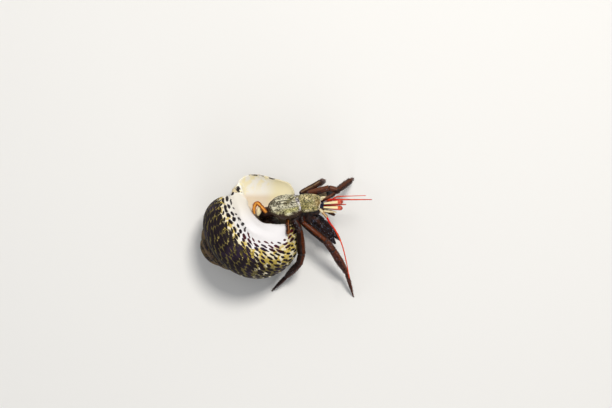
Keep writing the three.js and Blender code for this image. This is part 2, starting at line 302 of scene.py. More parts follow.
def blunted(stations, first, last):
    # rounds both ends of a run of stations
    done = []
    for i, (place, wide, above, below) in enumerate(stations):
        share = i / (len(stations) - 1)
        full = 1.0
        if share < first:
            full = sqrt(max(0, 1 - (1 - share / first) ** 2)) * 0.96 + 0.04
        if share > 1 - last:
            full *= sqrt(max(0, 1 - (1 - (1 - share) / last) ** 2)) * 0.96 + 0.04
        done.append((place, wide * full, above * full, below * full))
    return done


def makePiece(name, bm, materials, replaces=()):
    bmesh.ops.scale(bm, vec=(mm, mm, mm), verts=bm.verts)
    mesh = bpy.data.meshes.new(name)
    bm.to_mesh(mesh)
    bm.free()
    for material in materials:
        mesh.materials.append(material)
    mesh.shade_smooth()
    piece = bpy.data.objects.new(name, mesh)
    bpy.context.scene.collection.objects.link(piece)
    if replaces:
        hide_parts(*replaces)
    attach(piece, "root")


def makeFor(node, bm, materials, slot, *more):
    # a piece is named after the first node that it replaces
    first, *others = node.split("_")
    makePiece(first + "".join(word.capitalize() for word in others), bm, materials, (node, *more))


def keepLargest(bm):
    # drops closed hollows and crumbs that the melting leaves inside a form
    islands, left = [], set(bm.verts)
    while left:
        island, front = set(), [left.pop()]
        while front:
            vert = front.pop()
            island.add(vert)
            fresh = {edge.other_vert(vert) for edge in vert.link_edges} & left
            left -= fresh
            front += fresh
        islands.append(island)
    for island in sorted(islands, key=len)[:-1]:
        bmesh.ops.delete(bm, geom=list(island), context="VERTS")


def relax(bm, verts, times):
    for _ in range(times):
        bmesh.ops.smooth_vert(bm, verts=verts, factor=0.5, use_axis_x=True, use_axis_y=True, use_axis_z=True)


def onFloor(bm):
    for vert in bm.verts:
        vert.co.z = max(0.0, vert.co.z)


def melted(bm, grainSize, smoothing, whole=False):
    # joins overlapping forms into one closed skin
    mesh = bpy.data.meshes.new("melt")
    bmesh.ops.recalc_face_normals(bm, faces=bm.faces)
    bm.to_mesh(mesh)
    bm.free()
    holder = bpy.data.objects.new("melt", mesh)
    bpy.context.scene.collection.objects.link(holder)
    remesh = holder.modifiers.new("melt", "REMESH")
    remesh.mode = "VOXEL"
    remesh.voxel_size = grainSize
    remesh.adaptivity = 0
    done = bpy.data.meshes.new_from_object(holder.evaluated_get(bpy.context.evaluated_depsgraph_get()))
    bpy.data.objects.remove(holder)
    fresh = bmesh.new()
    fresh.from_mesh(done)
    bpy.data.meshes.remove(done)
    if whole:
        keepLargest(fresh)
    relax(fresh, fresh.verts, smoothing)
    bmesh.ops.recalc_face_normals(fresh, faces=fresh.faces)
    fresh.normal_update()
    return fresh


shell = {
    "growth": 1.615, "reach": 7.95, "halfWide": 7.45, "halfTall": 6.33, "drop": 21.08,
    "lean": radians(-25.9), "fill": 0.09, "fillAt": radians(72), "fillSpread": radians(34),
    "lift": 0.86, "lipSweep": 0.88, "wall": 0.95, "lipWall": 0.34,
    "padWide": 2.7, "padTall": 1.3, "padAt": -17.6,
    "coreFoot": 1.35, "coreTip": 0.1, "coreLong": 16, "coreAt": -11,
    "tipTilt": radians(53.8), "tipTowards": radians(29.85), "spin": radians(-280.8),
    "base": at(-8.12, -2.63, 16.46), "firstAngle": -6.3 * pi, "hollowAngle": -2.9,
    "cords": 36, "cordRise": 0.045, "wear": 0.07,
    # two smooth rolls of white glaze between the mouth and the base: middle and half thickness of each
    "glazeInner": [(-16.5, 4.9, 4.6, 0.4), (-16.5, 2.9, 6.0, 0.9), (-15.9, 0.8, 7.8, 1.15),
                   (-15.1, -1.5, 9.4, 1.2), (-14.0, -3.5, 10.9, 1.4), (-12.4, -5.1, 11.5, 1.4),
                   (-10.4, -6.1, 12.0, 1.3), (-8.0, -6.4, 12.2, 1.25), (-5.5, -6.1, 11.8, 1.15),
                   (-3.5, -5.8, 10.6, 0.7)],
    "glazeOuter": [(-17.7, 4.7, 4.6, 0.8), (-17.9, 2.5, 6.6, 1.25), (-17.1, 0.1, 9.3, 1.3),
                   (-16.0, -2.0, 10.8, 1.35), (-15.1, -3.9, 12.2, 1.5), (-14.0, -5.5, 13.1, 1.6),
                   (-12.3, -6.7, 13.3, 1.6), (-10.2, -7.5, 13.2, 1.5), (-7.7, -7.7, 12.8, 1.3),
                   (-5.2, -7.2, 12.0, 1.1)],
    "glazeMiddle": at(-9.0, -0.6, 0), "glazeFrom": 130, "glazeStep": 20,
    "glazeReach": (11.2, 10.1, 9.4, 8.1, 7.6, 8.1, 8.7, 8.4, 9.0, 6.8, 5.5),
    "glazeLow": 4.5, "glazeRadius": 8.5, "seamRow": 0.268, "seamDrift": 0.047, "rowLong": 43,
    "glazeSmoothing": 70, "lipEnd": at(-17.0, 3.2, 6.0),
    "flare": Vector((1.3, 1.0, 0)), "flareAt": at(-5.2, 4.2, 3.2), "flareWide": 3.2,
    "sides": 96, "outerSteps": 341, "innerSteps": 60, "grainSize": 0.207,
}
shell["rate"] = log(shell["growth"]) / (2 * pi)
shellUp = Vector((sin(shell["tipTilt"]) * cos(shell["tipTowards"]),
                  sin(shell["tipTilt"]) * sin(shell["tipTowards"]), cos(shell["tipTilt"])))
shellAcross = Vector((-sin(shell["tipTowards"]), cos(shell["tipTowards"]), 0))
shellTurn = Matrix((shellAcross, (-shellUp).cross(shellAcross), -shellUp)).transposed()
shellPlace = shell["base"] - shellTurn @ Vector((0, 0, -shell["drop"] - 0.95 * shell["halfTall"]))


def fuller(around):
    # the tube swells towards its outer side
    away = atan2(sin(around - shell["fillAt"]), cos(around - shell["fillAt"]))
    return 1 + bump(away, 0, shell["fillSpread"], shell["fill"])


def whorlPoint(angle, around, inset):
    size = sizeAt(angle)
    out = (shell["halfWide"] - inset) * cos(around) * fuller(around)
    along = (shell["halfTall"] - inset) * sin(around) * fuller(around)
    radius = (shell["reach"] + out * cos(shell["lean"]) - along * sin(shell["lean"])) * size
    height = (-shell["drop"] + out * sin(shell["lean"]) + along * cos(shell["lean"])) * size
    height += shell["lift"] * max(0, 1 - size) ** 1.5
    bearing = shell["spin"] - angle
    return shellTurn @ Vector((radius * cos(bearing), radius * sin(bearing), height)) + shellPlace


def lipAngle(around):
    return shell["lipSweep"] * sin(around)


def sizeAt(angle):
    return exp(shell["rate"] * angle)


def rowAt(around):
    # 0 to 1 round the tube, from the seam between the whorls
    return ((around - pi) % (2 * pi)) / (2 * pi)


def whorlCoordinates(place):
    # the growth angle and the place around the tube of a point near the shell, and how far out it lies
    local = shellTurn.transposed() @ (place - shellPlace)
    radius = hypot(local.x, local.y)
    first = (shell["spin"] - atan2(local.y, local.x)) % (2 * pi) - 2 * pi
    found = []
    for turn in (1, 0, -1, -2, -3):
        angle = first + turn * 2 * pi
        size = sizeAt(angle)
        a = radius / size - shell["reach"]
        b = (local.z - shell["lift"] * max(0, 1 - size) ** 1.5) / size + shell["drop"]
        out = (a * cos(shell["lean"]) + b * sin(shell["lean"])) / shell["halfWide"]
        along = (-a * sin(shell["lean"]) + b * cos(shell["lean"])) / shell["halfTall"]
        around = atan2(along, out)
        found.append((angle, around % (2 * pi), hypot(out, along) / fuller(around)))
    return found


def shellForm():
    bm = bmesh.new()
    turns = [j / shell["sides"] * 2 * pi for j in range(shell["sides"])]
    rings = []
    for i in range(shell["outerSteps"] + 1):
        share = (i / shell["outerSteps"]) ** 0.8
        rings.append([whorlPoint(shell["firstAngle"] + (lipAngle(turn) - shell["firstAngle"]) * share,
                                 turn, 0) for turn in turns])
    # over the lip and back into the mouth
    for i in range(shell["innerSteps"] + 1):
        share = i / shell["innerSteps"]
        thick = shell["lipWall"] + (shell["wall"] - shell["lipWall"]) * smoothStep(share, 0, 0.22)
        rings.append([whorlPoint(lipAngle(turn) + (shell["hollowAngle"] - lipAngle(turn)) * share
                                 + 0.02 * (i == 0), turn, thick) for turn in turns])
    loft(bm, rings)
    core = bmesh.ops.create_cone(bm, cap_ends=True, segments=32, radius1=shell["coreFoot"],
                                 radius2=shell["coreTip"], depth=shell["coreLong"])
    bmesh.ops.translate(bm, vec=(0, 0, shell["coreAt"]), verts=core["verts"])
    pad = bmesh.ops.create_uvsphere(bm, u_segments=32, v_segments=20, radius=1)
    bmesh.ops.scale(bm, vec=(shell["padWide"], shell["padWide"], shell["padTall"]), verts=pad["verts"])
    bmesh.ops.translate(bm, vec=(0, 0, shell["padAt"]), verts=pad["verts"])
    both = core["verts"] + pad["verts"]
    bmesh.ops.transform(bm, matrix=Matrix.Translation(shellPlace) @ shellTurn.to_4x4(), verts=both)
    for glaze in (shell["glazeInner"], shell["glazeOuter"]):
        loft(bm, ringsThrough(blunted(smoothStations(glaze, 32), 0.05, 0.08), 24))
    return melted(bm, shell["grainSize"], 2, True)


def tubeCentre(angle):
    size = sizeAt(angle)
    height = -shell["drop"] * size + shell["lift"] * max(0, 1 - size) ** 1.5
    bearing = shell["spin"] - angle
    radius = shell["reach"] * size
    return shellTurn @ Vector((radius * cos(bearing), radius * sin(bearing), height)) + shellPlace


def mouthShare(found, place, normal):
    # 1 on the inside of the last whorl, 0 on the outside
    best = 0.0
    for angle, around, out in found[:2]:
        if shell["hollowAngle"] - 0.4 < angle < lipAngle(around) + 0.08 and out < 1.02:
            facing = (place - tubeCentre(angle)).normalized().dot(normal)
            best = max(best, 1 - smoothStep(out, 0.9, 0.95), smoothStep(-facing, -0.25, 0.35))
    return best


def onWhorl(found):
    # the whorl whose wall the point lies on
    usable = [item for item in found if item[0] < lipAngle(item[1]) + 0.15]
    return min(usable, key=lambda item: abs(item[2] - 1))


def paintDistance(place, normal, found):
    # how far a point lies outside the white glaze, and how far round its edge, in millimetres
    angle, around, _ = found
    seam = shell["seamRow"] + shell["seamDrift"] * min(2.2, max(0, -angle - 3))
    byRow = (rowAt(around) - seam) * shell["rowLong"] * sizeAt(angle)
    across = place - shell["glazeMiddle"]
    bearing = (degrees(atan2(across.y, across.x)) - shell["glazeFrom"]) % 360
    reaches = shell["glazeReach"]
    if bearing > shell["glazeStep"] * (len(reaches) - 1) or place.z < shell["glazeLow"] or normal.z < -0.3:
        return byRow, -1.0
    reach = spline(reaches, bearing / (shell["glazeStep"] * (len(reaches) - 1)))
    return max(hypot(across.x, across.y) - reach, byRow - 4.5), radians(bearing) * shell["glazeRadius"]


def buildShell():
    bm = shellForm()
    inner, paint, edge = (bm.verts.layers.float.new(name) for name in ("mouth", "past", "edge"))
    coordinates, glazed = {}, []
    for vert in bm.verts:
        found = coordinates[vert] = whorlCoordinates(vert.co)
        vert[inner] = mouthShare(found, vert.co, vert.normal)
        vert[paint], vert[edge] = paintDistance(vert.co, vert.normal, onWhorl(found))
        if vert[inner] < 0.3 and vert[paint] < 0.9 or (vert.co - shell["lipEnd"]).length < 2.6:
            glazed.append(vert)
    relax(bm, glazed, shell["glazeSmoothing"])
    bm.normal_update()
    for vert in bm.verts:
        angle, around, _ = onWhorl(coordinates[vert])
        bare = smoothStep(vert[paint], -0.6, 0.8) * (1 - vert[inner])
        size = sizeAt(angle)
        swell = shell["cordRise"] * size * cos(rowAt(around) * shell["cords"] * 2 * pi)
        worn = noise.noise(vert.co * 0.9) * noise.noise(vert.co * 0.35 + Vector((9, 2, 4)))
        swell += shell["wear"] * (worn * 2 * (1.4 - size) + 0.25 * noise.noise(vert.co * 1.7))
        vert.co += vert.normal * swell * bare
        vert.co.z = max(0.0, vert.co.z)
    growth, lip = (bm.loops.layers.uv.new(name) for name in ("growth", "lip"))
    reach = 10 / shell["rate"]  # makes the first value run in millimetres along the growth
    for face in bm.faces:
        angle, around, _ = onWhorl(whorlCoordinates(face.calc_center_median()))
        faceRow = rowAt(around)
        for corner in face.loops:
            near = min(coordinates[corner.vert], key=lambda item: abs(item[0] - angle))
            row = rowAt(near[1])
            if abs(row - faceRow) > 0.5:
                row += 1 if row < 0.5 else -1
            size = sizeAt(near[0])
            corner[growth].uv = (reach * size, row)
            corner[lip].uv = (reach * (sizeAt(lipAngle(near[1])) - size), size)
    for vert in bm.verts:
        # the right end of the lip is drawn out a little
        vert.co += shell["flare"] * bump((vert.co - shell["flareAt"]).length, 0, shell["flareWide"])
    makePiece("topShell", bm, [shellMaterial()], ("shell_body_whorl", "shell_spire"))


def shellMaterial():
    paint = {
        "white": (0.82, 0.80, 0.81, 1), "ivory": (0.80, 0.755, 0.67, 1), "cream": (0.80, 0.72, 0.52, 1),
        "yellow": (0.60, 0.44, 0.09, 1), "lipYellow": (0.34, 0.27, 0.07, 1), "olive": (0.11, 0.088, 0.028, 1),
        "moss": (0.26, 0.20, 0.045, 1), "dark": (0.011, 0.006, 0.009, 1), "maroon": (0.075, 0.006, 0.014, 1),
        "violet": (0.022, 0.012, 0.028, 1), "brown": (0.009, 0.006, 0.004, 1), "tan": (0.20, 0.125, 0.055, 1),
        "margin": (0.02, 0.022, 0.01, 1), "rim": (0.70, 0.58, 0.36, 1), "nacre": (0.97, 0.94, 0.86, 1),
        "shade": (0.76, 0.62, 0.45, 1), "hollowShadow": (0.10, 0.065, 0.04, 1), "stain": (0.97, 0.86, 0.48, 1),
        "spacing": 1.75, "lean": -0.75,  # of the dashes, in millimetres and as a slope
        # where the painted shade band, the yellow stain and the painted shadow in the hollow inside the mouth
        # start and end
        "bandLeft": (3.2, 1.4), "shadeBandForward": (-8, -4), "stainForward": (-11, -7),
        "pitLeft": (-0.9, -3.2), "shadowHeight": (6, 9.5),
    }
    material, tree, shader = newMaterial("chequeredShell", 0.4, 0.0, 0.3, 0.12)
    place = inObject(tree)
    grow, row = mapped(tree, "growth")
    toLip, size = mapped(tree, "lip")
    mouth = painted(tree, "mouth")
    broad = grain(place, 160, 4, 0.6)
    soft = grain(place, 620, 4, 0.6)
    fine = grain(place, 2600, 4, 0.65)
    past = shifted(painted(tree, "past"), broad, 1.4)
    edge = painted(tree, "edge")
    angle = size.calc("LOGARITHM", e) / shell["rate"]
    older = rise(shifted(angle, broad, 1.3), -2.15, -2.85)

    def dashes(across, lengthways, lean, extra):
        # staggered rows of dashes, each moved a little in its place
        rows = shifted(across, soft, 0.6)
        rowIndex = rows.calc("FLOOR")
        rowChance = take(tree, "TexWhiteNoise", {"W": rowIndex}, noise_dimensions="1D", output="Value")
        along = shifted(lengthways + (rowIndex * 0.43 + rowChance * 0.5), soft, 0.9)
        pair = take(tree, "CombineXYZ", {0: rowIndex, 1: along.calc("FLOOR")})
        dice = put(tree, "TexWhiteNoise", {"Vector": pair}, noise_dimensions="2D")
        _, green, blue = split(Field(dice.outputs["Color"]), "Color")
        dashCell = shifted(along.calc("FRACT") - 0.5, green, 0.22)
        rowCell = dashCell * lean + shifted(rows.calc("FRACT") - 0.5, blue, 0.24)
        halfLong = Field(dice.outputs["Value"]) * 0.24 + 0.22 + extra
        halfWide = green * 0.13 + 0.23 + extra
        near = (dashCell / halfLong).calc("POWER", 2.0) + (rowCell / halfWide).calc("POWER", 2.0)
        return fall(shifted(near, fine, 0.9), 0.8, 1.15)

    # along the left of the glaze the dashes follow its edge, below it they cross it
    leaning = rise(edge, 10.0, 18.0) * paint["lean"]
    first = dashes(past / 0.95, edge / 1.5, leaning, rise(past, 0.6, 1.2) * 0.09)
    # dashes grow together with age, away from the white base
    crowd = rise(past, 2.0, 7.5) * 0.14 + older * (rise(past, 2.6, 4.6) * 0.1 + 0.04)
    later = dashes(row * float(shell["cords"]), grow / paint["spacing"], paint["lean"], crowd)
    present = rise(past, -0.1, 0.1)
    nearEdge = rise(edge, 0.1, 0.2) * fall(past, 2.8, 2.9)
    dash = mix(nearEdge, later, first) * present
    # ground, from white through cream and yellow to brown-black with yellow flecks
    ground = mix(rise(edge, 5.0, 15.0), paint["ivory"], paint["white"])
    warm = rise(edge, 20.0, 26.0) * 1.8 + past
    ground = mix(rise(shifted(warm, soft, 3.6), 2.0, 3.0), ground, paint["cream"])
    yellow = rise(shifted(warm, fine, 2.0), 1.5, 3.0) * rise(soft, 0.47, 0.52)
    ground = mix(yellow, ground, paint["yellow"])
    spiral = take(tree, "CombineXYZ", {0: grow * 0.75, 1: row * 40.0})
    blotch = grain(spiral, 0.8, 4, 0.6, 0.4)
    flecks = grain(spiral, 3.2, 3, 0.6, 0.6)
    shade = rise(older * fine, 0.2, 0.35) * rise(shifted(past, soft, 3.5), 3.3, 3.9)
    inner = fall(past, 4.0, 8.0)
    ground = mix(shade * (inner * -0.35 + 1.0), ground, mix(inner, paint["moss"], paint["yellow"]))
    ground = mix(shade * fall(blotch, 0.47, 0.53), ground, paint["brown"])
    ground = mix(shade * fall(flecks, 0.5, 0.54), ground, paint["brown"])
    # near the lip the ground turns green-yellow
    lipSide = fall(toLip, 3.0, 9.0) * rise(past, 0.6, 2.2)
    ground = mix(lipSide * rise(fine, 0.44, 0.54), ground, paint["lipYellow"])
    ground = mix(rise(past, 2.8, 8.0) * rise(soft, 0.36, 0.5), ground, paint["olive"])
    red = fall(past, 1.2, 3.0) * rise(edge, 13.0, 16.0)
    dark = mix(red, paint["dark"], paint["maroon"])
    dark = mix(rise(broad, 0.5, 0.62), dark, paint["violet"])
    colour = mix(dash, ground, dark)
    # the oldest whorls are rubbed to brown
    worn = rise(size, 0.62, 0.42) * rise(soft, 0.4, 0.58)
    colour = mix(worn * 0.8, colour, paint["tan"])
    # green-black margin and pale edge at the lip
    ragged = shifted(toLip, soft, 0.9)
    margin = rise(ragged, 0.3, 0.6) * fall(ragged, 0.9, 1.5) * present
    colour = mix(margin * 0.9, colour, paint["margin"])
    rim = fall(ragged, 0.25, 0.5) * (1.0 - mouth) * present
    colour = mix(rim, colour, paint["rim"])
    # the mouth, cream at the lip, with a painted shade band inside the lip and painted shadow, near black,
    # deep in the hollow
    deep = shifted(toLip, soft, 3.0)
    forward, leftward, height = split(place)

    def inMetres(values, axis):
        return [(value - middle[axis]) * mm for value in values]

    # painted shade: a darker band on the inner wall of the lip where the wall curves, set by place
    band = rise(leftward, *inMetres(paint["bandLeft"], 1)) * fall(forward, *inMetres(paint["shadeBandForward"], 0))
    pearl = mix(band * 0.85, paint["nacre"], paint["shade"])
    stain = fall(deep, 1.0, 6.0) * rise(soft, 0.44, 0.6)
    stain = stain.calc("MAXIMUM", rise(forward, *inMetres(paint["stainForward"], 0)) * 0.95)
    pearl = mix(stain * 0.75, pearl, paint["stain"])
    # painted shadow: the deep part of the hollow, past a line and below a height, is painted near black
    paintedShadow = rise(leftward, *inMetres(paint["pitLeft"], 1)) * fall(height, *inMetres(paint["shadowHeight"], 2))
    pearl = mix(paintedShadow * 0.97, pearl, paint["hollowShadow"])
    edgeDots = fall(toLip, 0.2, 0.45) * dash * rise(broad, 0.47, 0.53)
    pearl = mix(edgeDots, pearl, paint["dark"])
    colour = mix(mouth, colour, pearl)
    lines = take(tree, "TexWave", {
        "Vector": take(tree, "CombineXYZ", {0: grow, 1: row}), "Scale": 0.7, "Distortion": 3.0,
        "Detail": 3.0, "Detail Scale": 1.4}, output="Fac", bands_direction="X")
    relief = (lines * 0.15 + fine * 0.5) * (present * 0.9 + 0.1) * (mouth * -0.9 + 1.0)
    rough = soft * 0.3 + 0.24 + rise(past, 0.0, 2.0) * 0.24 - mouth * 0.06
    feed(shader.inputs["Coat Weight"], mouth * 0.15)
    dress(shader, colour, rough, relief, 0.08)
    return material


buildShell()
print("shell done")


# each form as rows of x, y, z, half width, half height above and half height below
body = {
    "rear": [(-9.35, -1.65, 12.2, 0.9, 0.5, 0.6), (-8.2, -1.2, 12.5, 2.0, 1.2),
             (-6.7, -0.9, 12.9, 2.85, 1.6, 1.5), (-4.7, -0.7, 13.3, 3.1, 1.9, 1.6),
             (-3, -0.4, 13.5, 2.85, 1.9, 1.6), (-1.9, -0.1, 13.5, 2.45, 1.78, 1.5),
             (-0.9, 0.1, 13.4, 2.1, 1.5, 1.4)],
    "shield": [(-1.6, 0, 13.5, 2.1, 1.6, 0.25), (-0.6, 0.2, 13.5, 2.3, 1.85, 0.3),
               (1, 0.3, 13.4, 2.25, 1.85, 0.3), (2.5, 0.3, 13.2, 2.05, 1.5, 0.3),
               (3.35, 0.2, 13, 1.62, 0.85, 0.25)],
    "thorax": [(-1.5, -0.1, 11.9, 1.4, 0.9, 1.1), (-0.5, 0.1, 11.7, 1.8, 1.2, 1.5),
               (1.5, 0.2, 11.6, 1.8, 1.3, 1.6), (3.3, 0.2, 11.7, 1.2, 0.9, 1.3)],
    "abdomen": [(-2.5, -0.5, 11.6, 1.5, 0.9), (-6.4, -1.4, 10.9, 1.6, 1.2, 1.0),
                (-8, -1.8, 10, 1.7, 1.2, 1.1), (-9.6, -2, 9.4, 1.6, 1.3), (-10.7, -2.3, 8.1, 1.45, 1.3),
                (-10.4, -3, 6.3, 1.45, 1.4), (-9.1, -4.4, 5.5, 1.95), (-8.2, -6.3, 6.2, 2.35),
                (-8.2, -8.8, 8, 2.45), (-9.6, -11.4, 10.2, 1.95), (-11.5, -12.2, 12, 0.9)],
    "head": [(3.0, 0, 12.1, 1.0, 0.8, 1.0), (3.7, -0.25, 12.3, 0.9, 0.55, 0.9),
             (4.3, -0.3, 12.5, 0.7, 0.45, 0.7)],
    # grooves, point and shoulders: place across where it isn't worked out, half width, depth or height
    "rearMiddle": at(-4.7, -0.55, 0), "rearGrooves": ((0.95, 0.16, 0.10), (2.1, 0.2, 0.07)),
    "shieldMiddle": at(0.9, 0.25, 13), "shieldGroove": (0.12, 0.08), "point": (0.28, 0.28),
    "shoulders": (1.15, 0.2, 0.16),
}


def domed(rows, sides, steps, power, first, last):
    bm = bmesh.new()
    fine = blunted(smoothStations(rows, steps), first, last)
    loft(bm, ringsThrough(fine, sides, up, boxy(power)))
    bmesh.ops.recalc_face_normals(bm, faces=bm.faces)
    bm.normal_update()
    return bm


def roughen(bm, depth, scale, seed):
    bm.normal_update()
    shift = Vector((seed * 3.1, seed * 1.7, seed * 0.9))
    for vert in bm.verts:
        vert.co += vert.normal * depth * noise.noise(vert.co * scale + shift)


def buildCarapace():
    bm = domed(body["rear"], 72, 64, 2.1, 0.10, 0.05)
    for vert in bm.verts:
        # a groove each side of the heart region, and one lower down
        side = abs(vert.co.y - body["rearMiddle"].y)
        groove = sum(bump(side, *each) for each in body["rearGrooves"])
        vert.co -= vert.normal * groove * max(0, vert.normal.z)
    roughen(bm, 0.07, 1.6, 1)
    roughen(bm, 0.03, 5.0, 2)
    makePiece("rearCarapace", bm, [carapaceMaterial()], ("carapace_rear",))

    bm = domed(body["shield"], 64, 48, 2.5, 0.05, 0.05)
    for vert in bm.verts:
        local = vert.co - body["shieldMiddle"]
        # curved grooves either side of the stomach region
        groove = bump(abs(local.y), 0.75 + 0.16 * local.x, *body["shieldGroove"])
        vert.co -= vert.normal * groove * max(0, vert.normal.z)
        # small central point and shoulders on the front edge
        if local.x > 2.0:
            point = bump(local.y, 0, *body["point"]) + bump(abs(local.y), *body["shoulders"])
            vert.co.x += point * smoothStep(local.x, 2.0, 2.5)
    roughen(bm, 0.04, 2.2, 3)
    roughen(bm, 0.02, 6.0, 4)
    makePiece("shield", bm, [shieldMaterial()], ("carapace_shield",))


def carapaceMaterial():
    paint = {
        "sand": (0.72, 0.68, 0.5, 1), "olive": (0.46, 0.41, 0.2, 1), "yellow": (0.6, 0.56, 0.24, 1),
        "white": (0.72, 0.68, 0.74, 1), "net": (0.04, 0.03, 0.013, 1), "speck": (0.045, 0.035, 0.02, 1),
        "back": (0.045, 0.036, 0.018, 1), "worn": (0.06, 0.048, 0.024, 1),
        "flank": (0.034, 0.017, 0.009, 1), "flankSpeck": (0.24, 0.16, 0.1, 1), "seams": (0.165, 0.205),
    }
    material, tree, shader = newMaterial("speckledCarapace", 0.45, 0.0, 0.25, 0.2)
    place = inObject(tree)
    along, around = mapped(tree, "length")
    broad = grain(place, 330, 3, 0.5)
    stretched = take(tree, "Mapping", {"Vector": place, "Scale": (0.55, 1.0, 1.0)})
    soft = grain(stretched, 1150, 4, 0.65, 0.8)
    fine = grain(stretched, 3600, 3, 0.6)
    wavy = grain(stretched, 1500, 2, 0.5, 2.2)
    curls = abs(wavy - 0.5)
    colour = mix(rise(broad, 0.4, 0.6), paint["sand"], paint["olive"])
    # a pale yellow band low on the right side and a white patch in front
    low = abs(around - 0.305)
    colour = mix(fall(low, 0.015, 0.045) * rise(along, 0.35, 0.5), colour, paint["yellow"])
    front = rise(along + broad * 0.2, 0.84, 0.92) * rise(soft, 0.4, 0.5)
    colour = mix(front, colour, paint["white"])
    net = fall(curls, 0.045, 0.075) * rise(soft, 0.42, 0.48)
    colour = mix(net, colour, paint["net"])
    colour = mix(rise(fine, 0.56, 0.66) * 0.7, colour, paint["speck"])
    back = fall(along, 0.1, 0.6) * rise(soft, 0.46, 0.54)
    colour = mix(back * 0.85, colour, paint["back"])
    worn = rise(broad, 0.54, 0.58) * rise(wavy, 0.5, 0.54)
    colour = mix(worn * 0.8, colour, paint["worn"])
    # two dark seams along the left side, and brown flanks
    for seam in paint["seams"]:
        away = shifted(abs(around - seam), soft, 0.03)
        colour = mix(fall(away, 0.002, 0.009) * rise(along, 0.25, 0.35), colour, paint["speck"])
    side = shifted(around, soft, 0.12) + fall(along, 0.15, 0.55) * 0.03
    flank = rise(side, 0.345, 0.375) * rise(around, 0.8, 0.78)
    flank = flank.calc("MAXIMUM", rise(split(place)[2], 0.0136, 0.013))
    speck = mix(rise(fine, 0.6, 0.66), paint["flank"], paint["flankSpeck"])
    colour = mix(flank, colour, speck)
    dress(shader, colour, soft * 0.3 + 0.3, soft + fine * 0.5, 0.06)
    return material


def shieldMaterial():
    paint = {
        "sand": (0.8, 0.66, 0.32, 1), "olive": (0.4, 0.35, 0.115, 1), "net": (0.034, 0.03, 0.012, 1),
        "pale": (0.9, 0.8, 0.52, 1), "speck": (0.06, 0.048, 0.016, 1), "line": (0.24, 0.14, 0.05, 1),
        "rim": (0.8, 0.7, 0.54, 1),
    }
    material, tree, shader = newMaterial("mottledShield", 0.48, 0.0, 0.2, 0.2)
    place = inObject(tree)
    along, around = mapped(tree, "length")
    broad = grain(place, 520, 3, 0.5)
    soft = grain(place, 1250, 4, 0.65, 1.2)
    fine = grain(place, 4200, 3, 0.6)
    colour = mix(rise(broad, 0.36, 0.62), paint["sand"], paint["olive"])
    curls = abs(grain(place, 1300, 2, 0.5, 2.5) - 0.5)
    colour = mix(fall(curls, 0.05, 0.085) * rise(broad, 0.36, 0.42), colour, paint["net"])
    colour = mix(rise(soft, 0.57, 0.63) * 0.85, colour, paint["pale"])
    colour = mix(fall(fine, 0.4, 0.47) * 0.75, colour, paint["speck"])
    centreLine = fall(abs(around - 0.25), 0.04, 0.1)
    colour = mix(centreLine * rise(along, 0.55, 0.8) * 0.55, colour, paint["line"])
    colour = mix(rise(shifted(along, soft, 0.03), 0.88, 0.91), colour, paint["rim"])
    dress(shader, colour, soft * 0.25 + 0.25, soft + fine * 0.6, 0.05)
    return material


# what a plate has unless its call says otherwise; low and high are in millimetres beyond its ends
plateForm = {
    "hint": up, "low": -0.16, "high": -0.02, "rise": 0, "collar": 0.05, "first": 0.07, "last": 0.045,
    "keel": 0.05, "power": 2.2, "sides": 20, "steps": 22, "foot": False, "material": 0,
}


def limbStations(start, end, wides, deeps, form):
    length = (end - start).length
    along = (end - start) / length
    above = (form["hint"] - along * form["hint"].dot(along)).normalized()
    stations = []
    for i in range(form["steps"] + 1):
        share = i / form["steps"]
        place = start + along * (form["low"] + share * (length - form["low"] - form["high"]))
        place = place + above * sin(share * pi) * form["rise"]
        # a collar at the far end, where the next plate is hinged
        collar = 1 + bump(share, 0.93, 0.05, form["collar"])
        wide, deep = spline(wides, share) * collar, spline(deeps, share) * collar
        stations.append((place, wide, deep, deep))
    return blunted(stations, form["first"], form["last"])


def plate(bm, start, end, wides, deeps, **changes):
    form = {**plateForm, **changes}
    square = boxy(form["power"])

    def shape(share, turn):
        return square(share, turn) * (1 + bump(turn, pi / 2, 0.3, form["keel"]) * sin(share * pi))

    rings = ringsThrough(limbStations(start, end, wides, deeps, form), form["sides"], form["hint"], shape)
    if form["foot"]:
        for place in [place for ring in rings for place in ring]:
            place.z = max(place.z, 0.0)
    loft(bm, rings, form["material"])


def turned(place, direction):
    # a frame at a place, with its z axis along a direction
    return Matrix.Translation(place) @ direction.to_track_quat("Z", "Y").to_matrix().to_4x4()


def granules(bm, picks, size, material, seed, upward=-0.3):
    # small rounded bumps standing on a plate
    dice = random.Random(seed)
    bm.normal_update()
    faces = [face for face in bm.faces if face.normal.z > upward and face.calc_area() > 1e-4]
    chosen = dice.sample(faces, min(picks, len(faces)))
    layer = bm.loops.layers.uv["length"]
    for place, normal in [(face.calc_center_median(), face.normal.copy()) for face in chosen]:
        radius = size * dice.uniform(0.7, 1.3)
        turn = turned(place - normal * radius * 0.25, normal)
        made = bmesh.ops.create_icosphere(bm, subdivisions=1, radius=radius, matrix=turn)["verts"]
        for face in {face for vert in made for face in vert.link_faces}:
            face.material_index = material
            for corner in face.loops:
                corner[layer].uv = (0.5, 0.75)
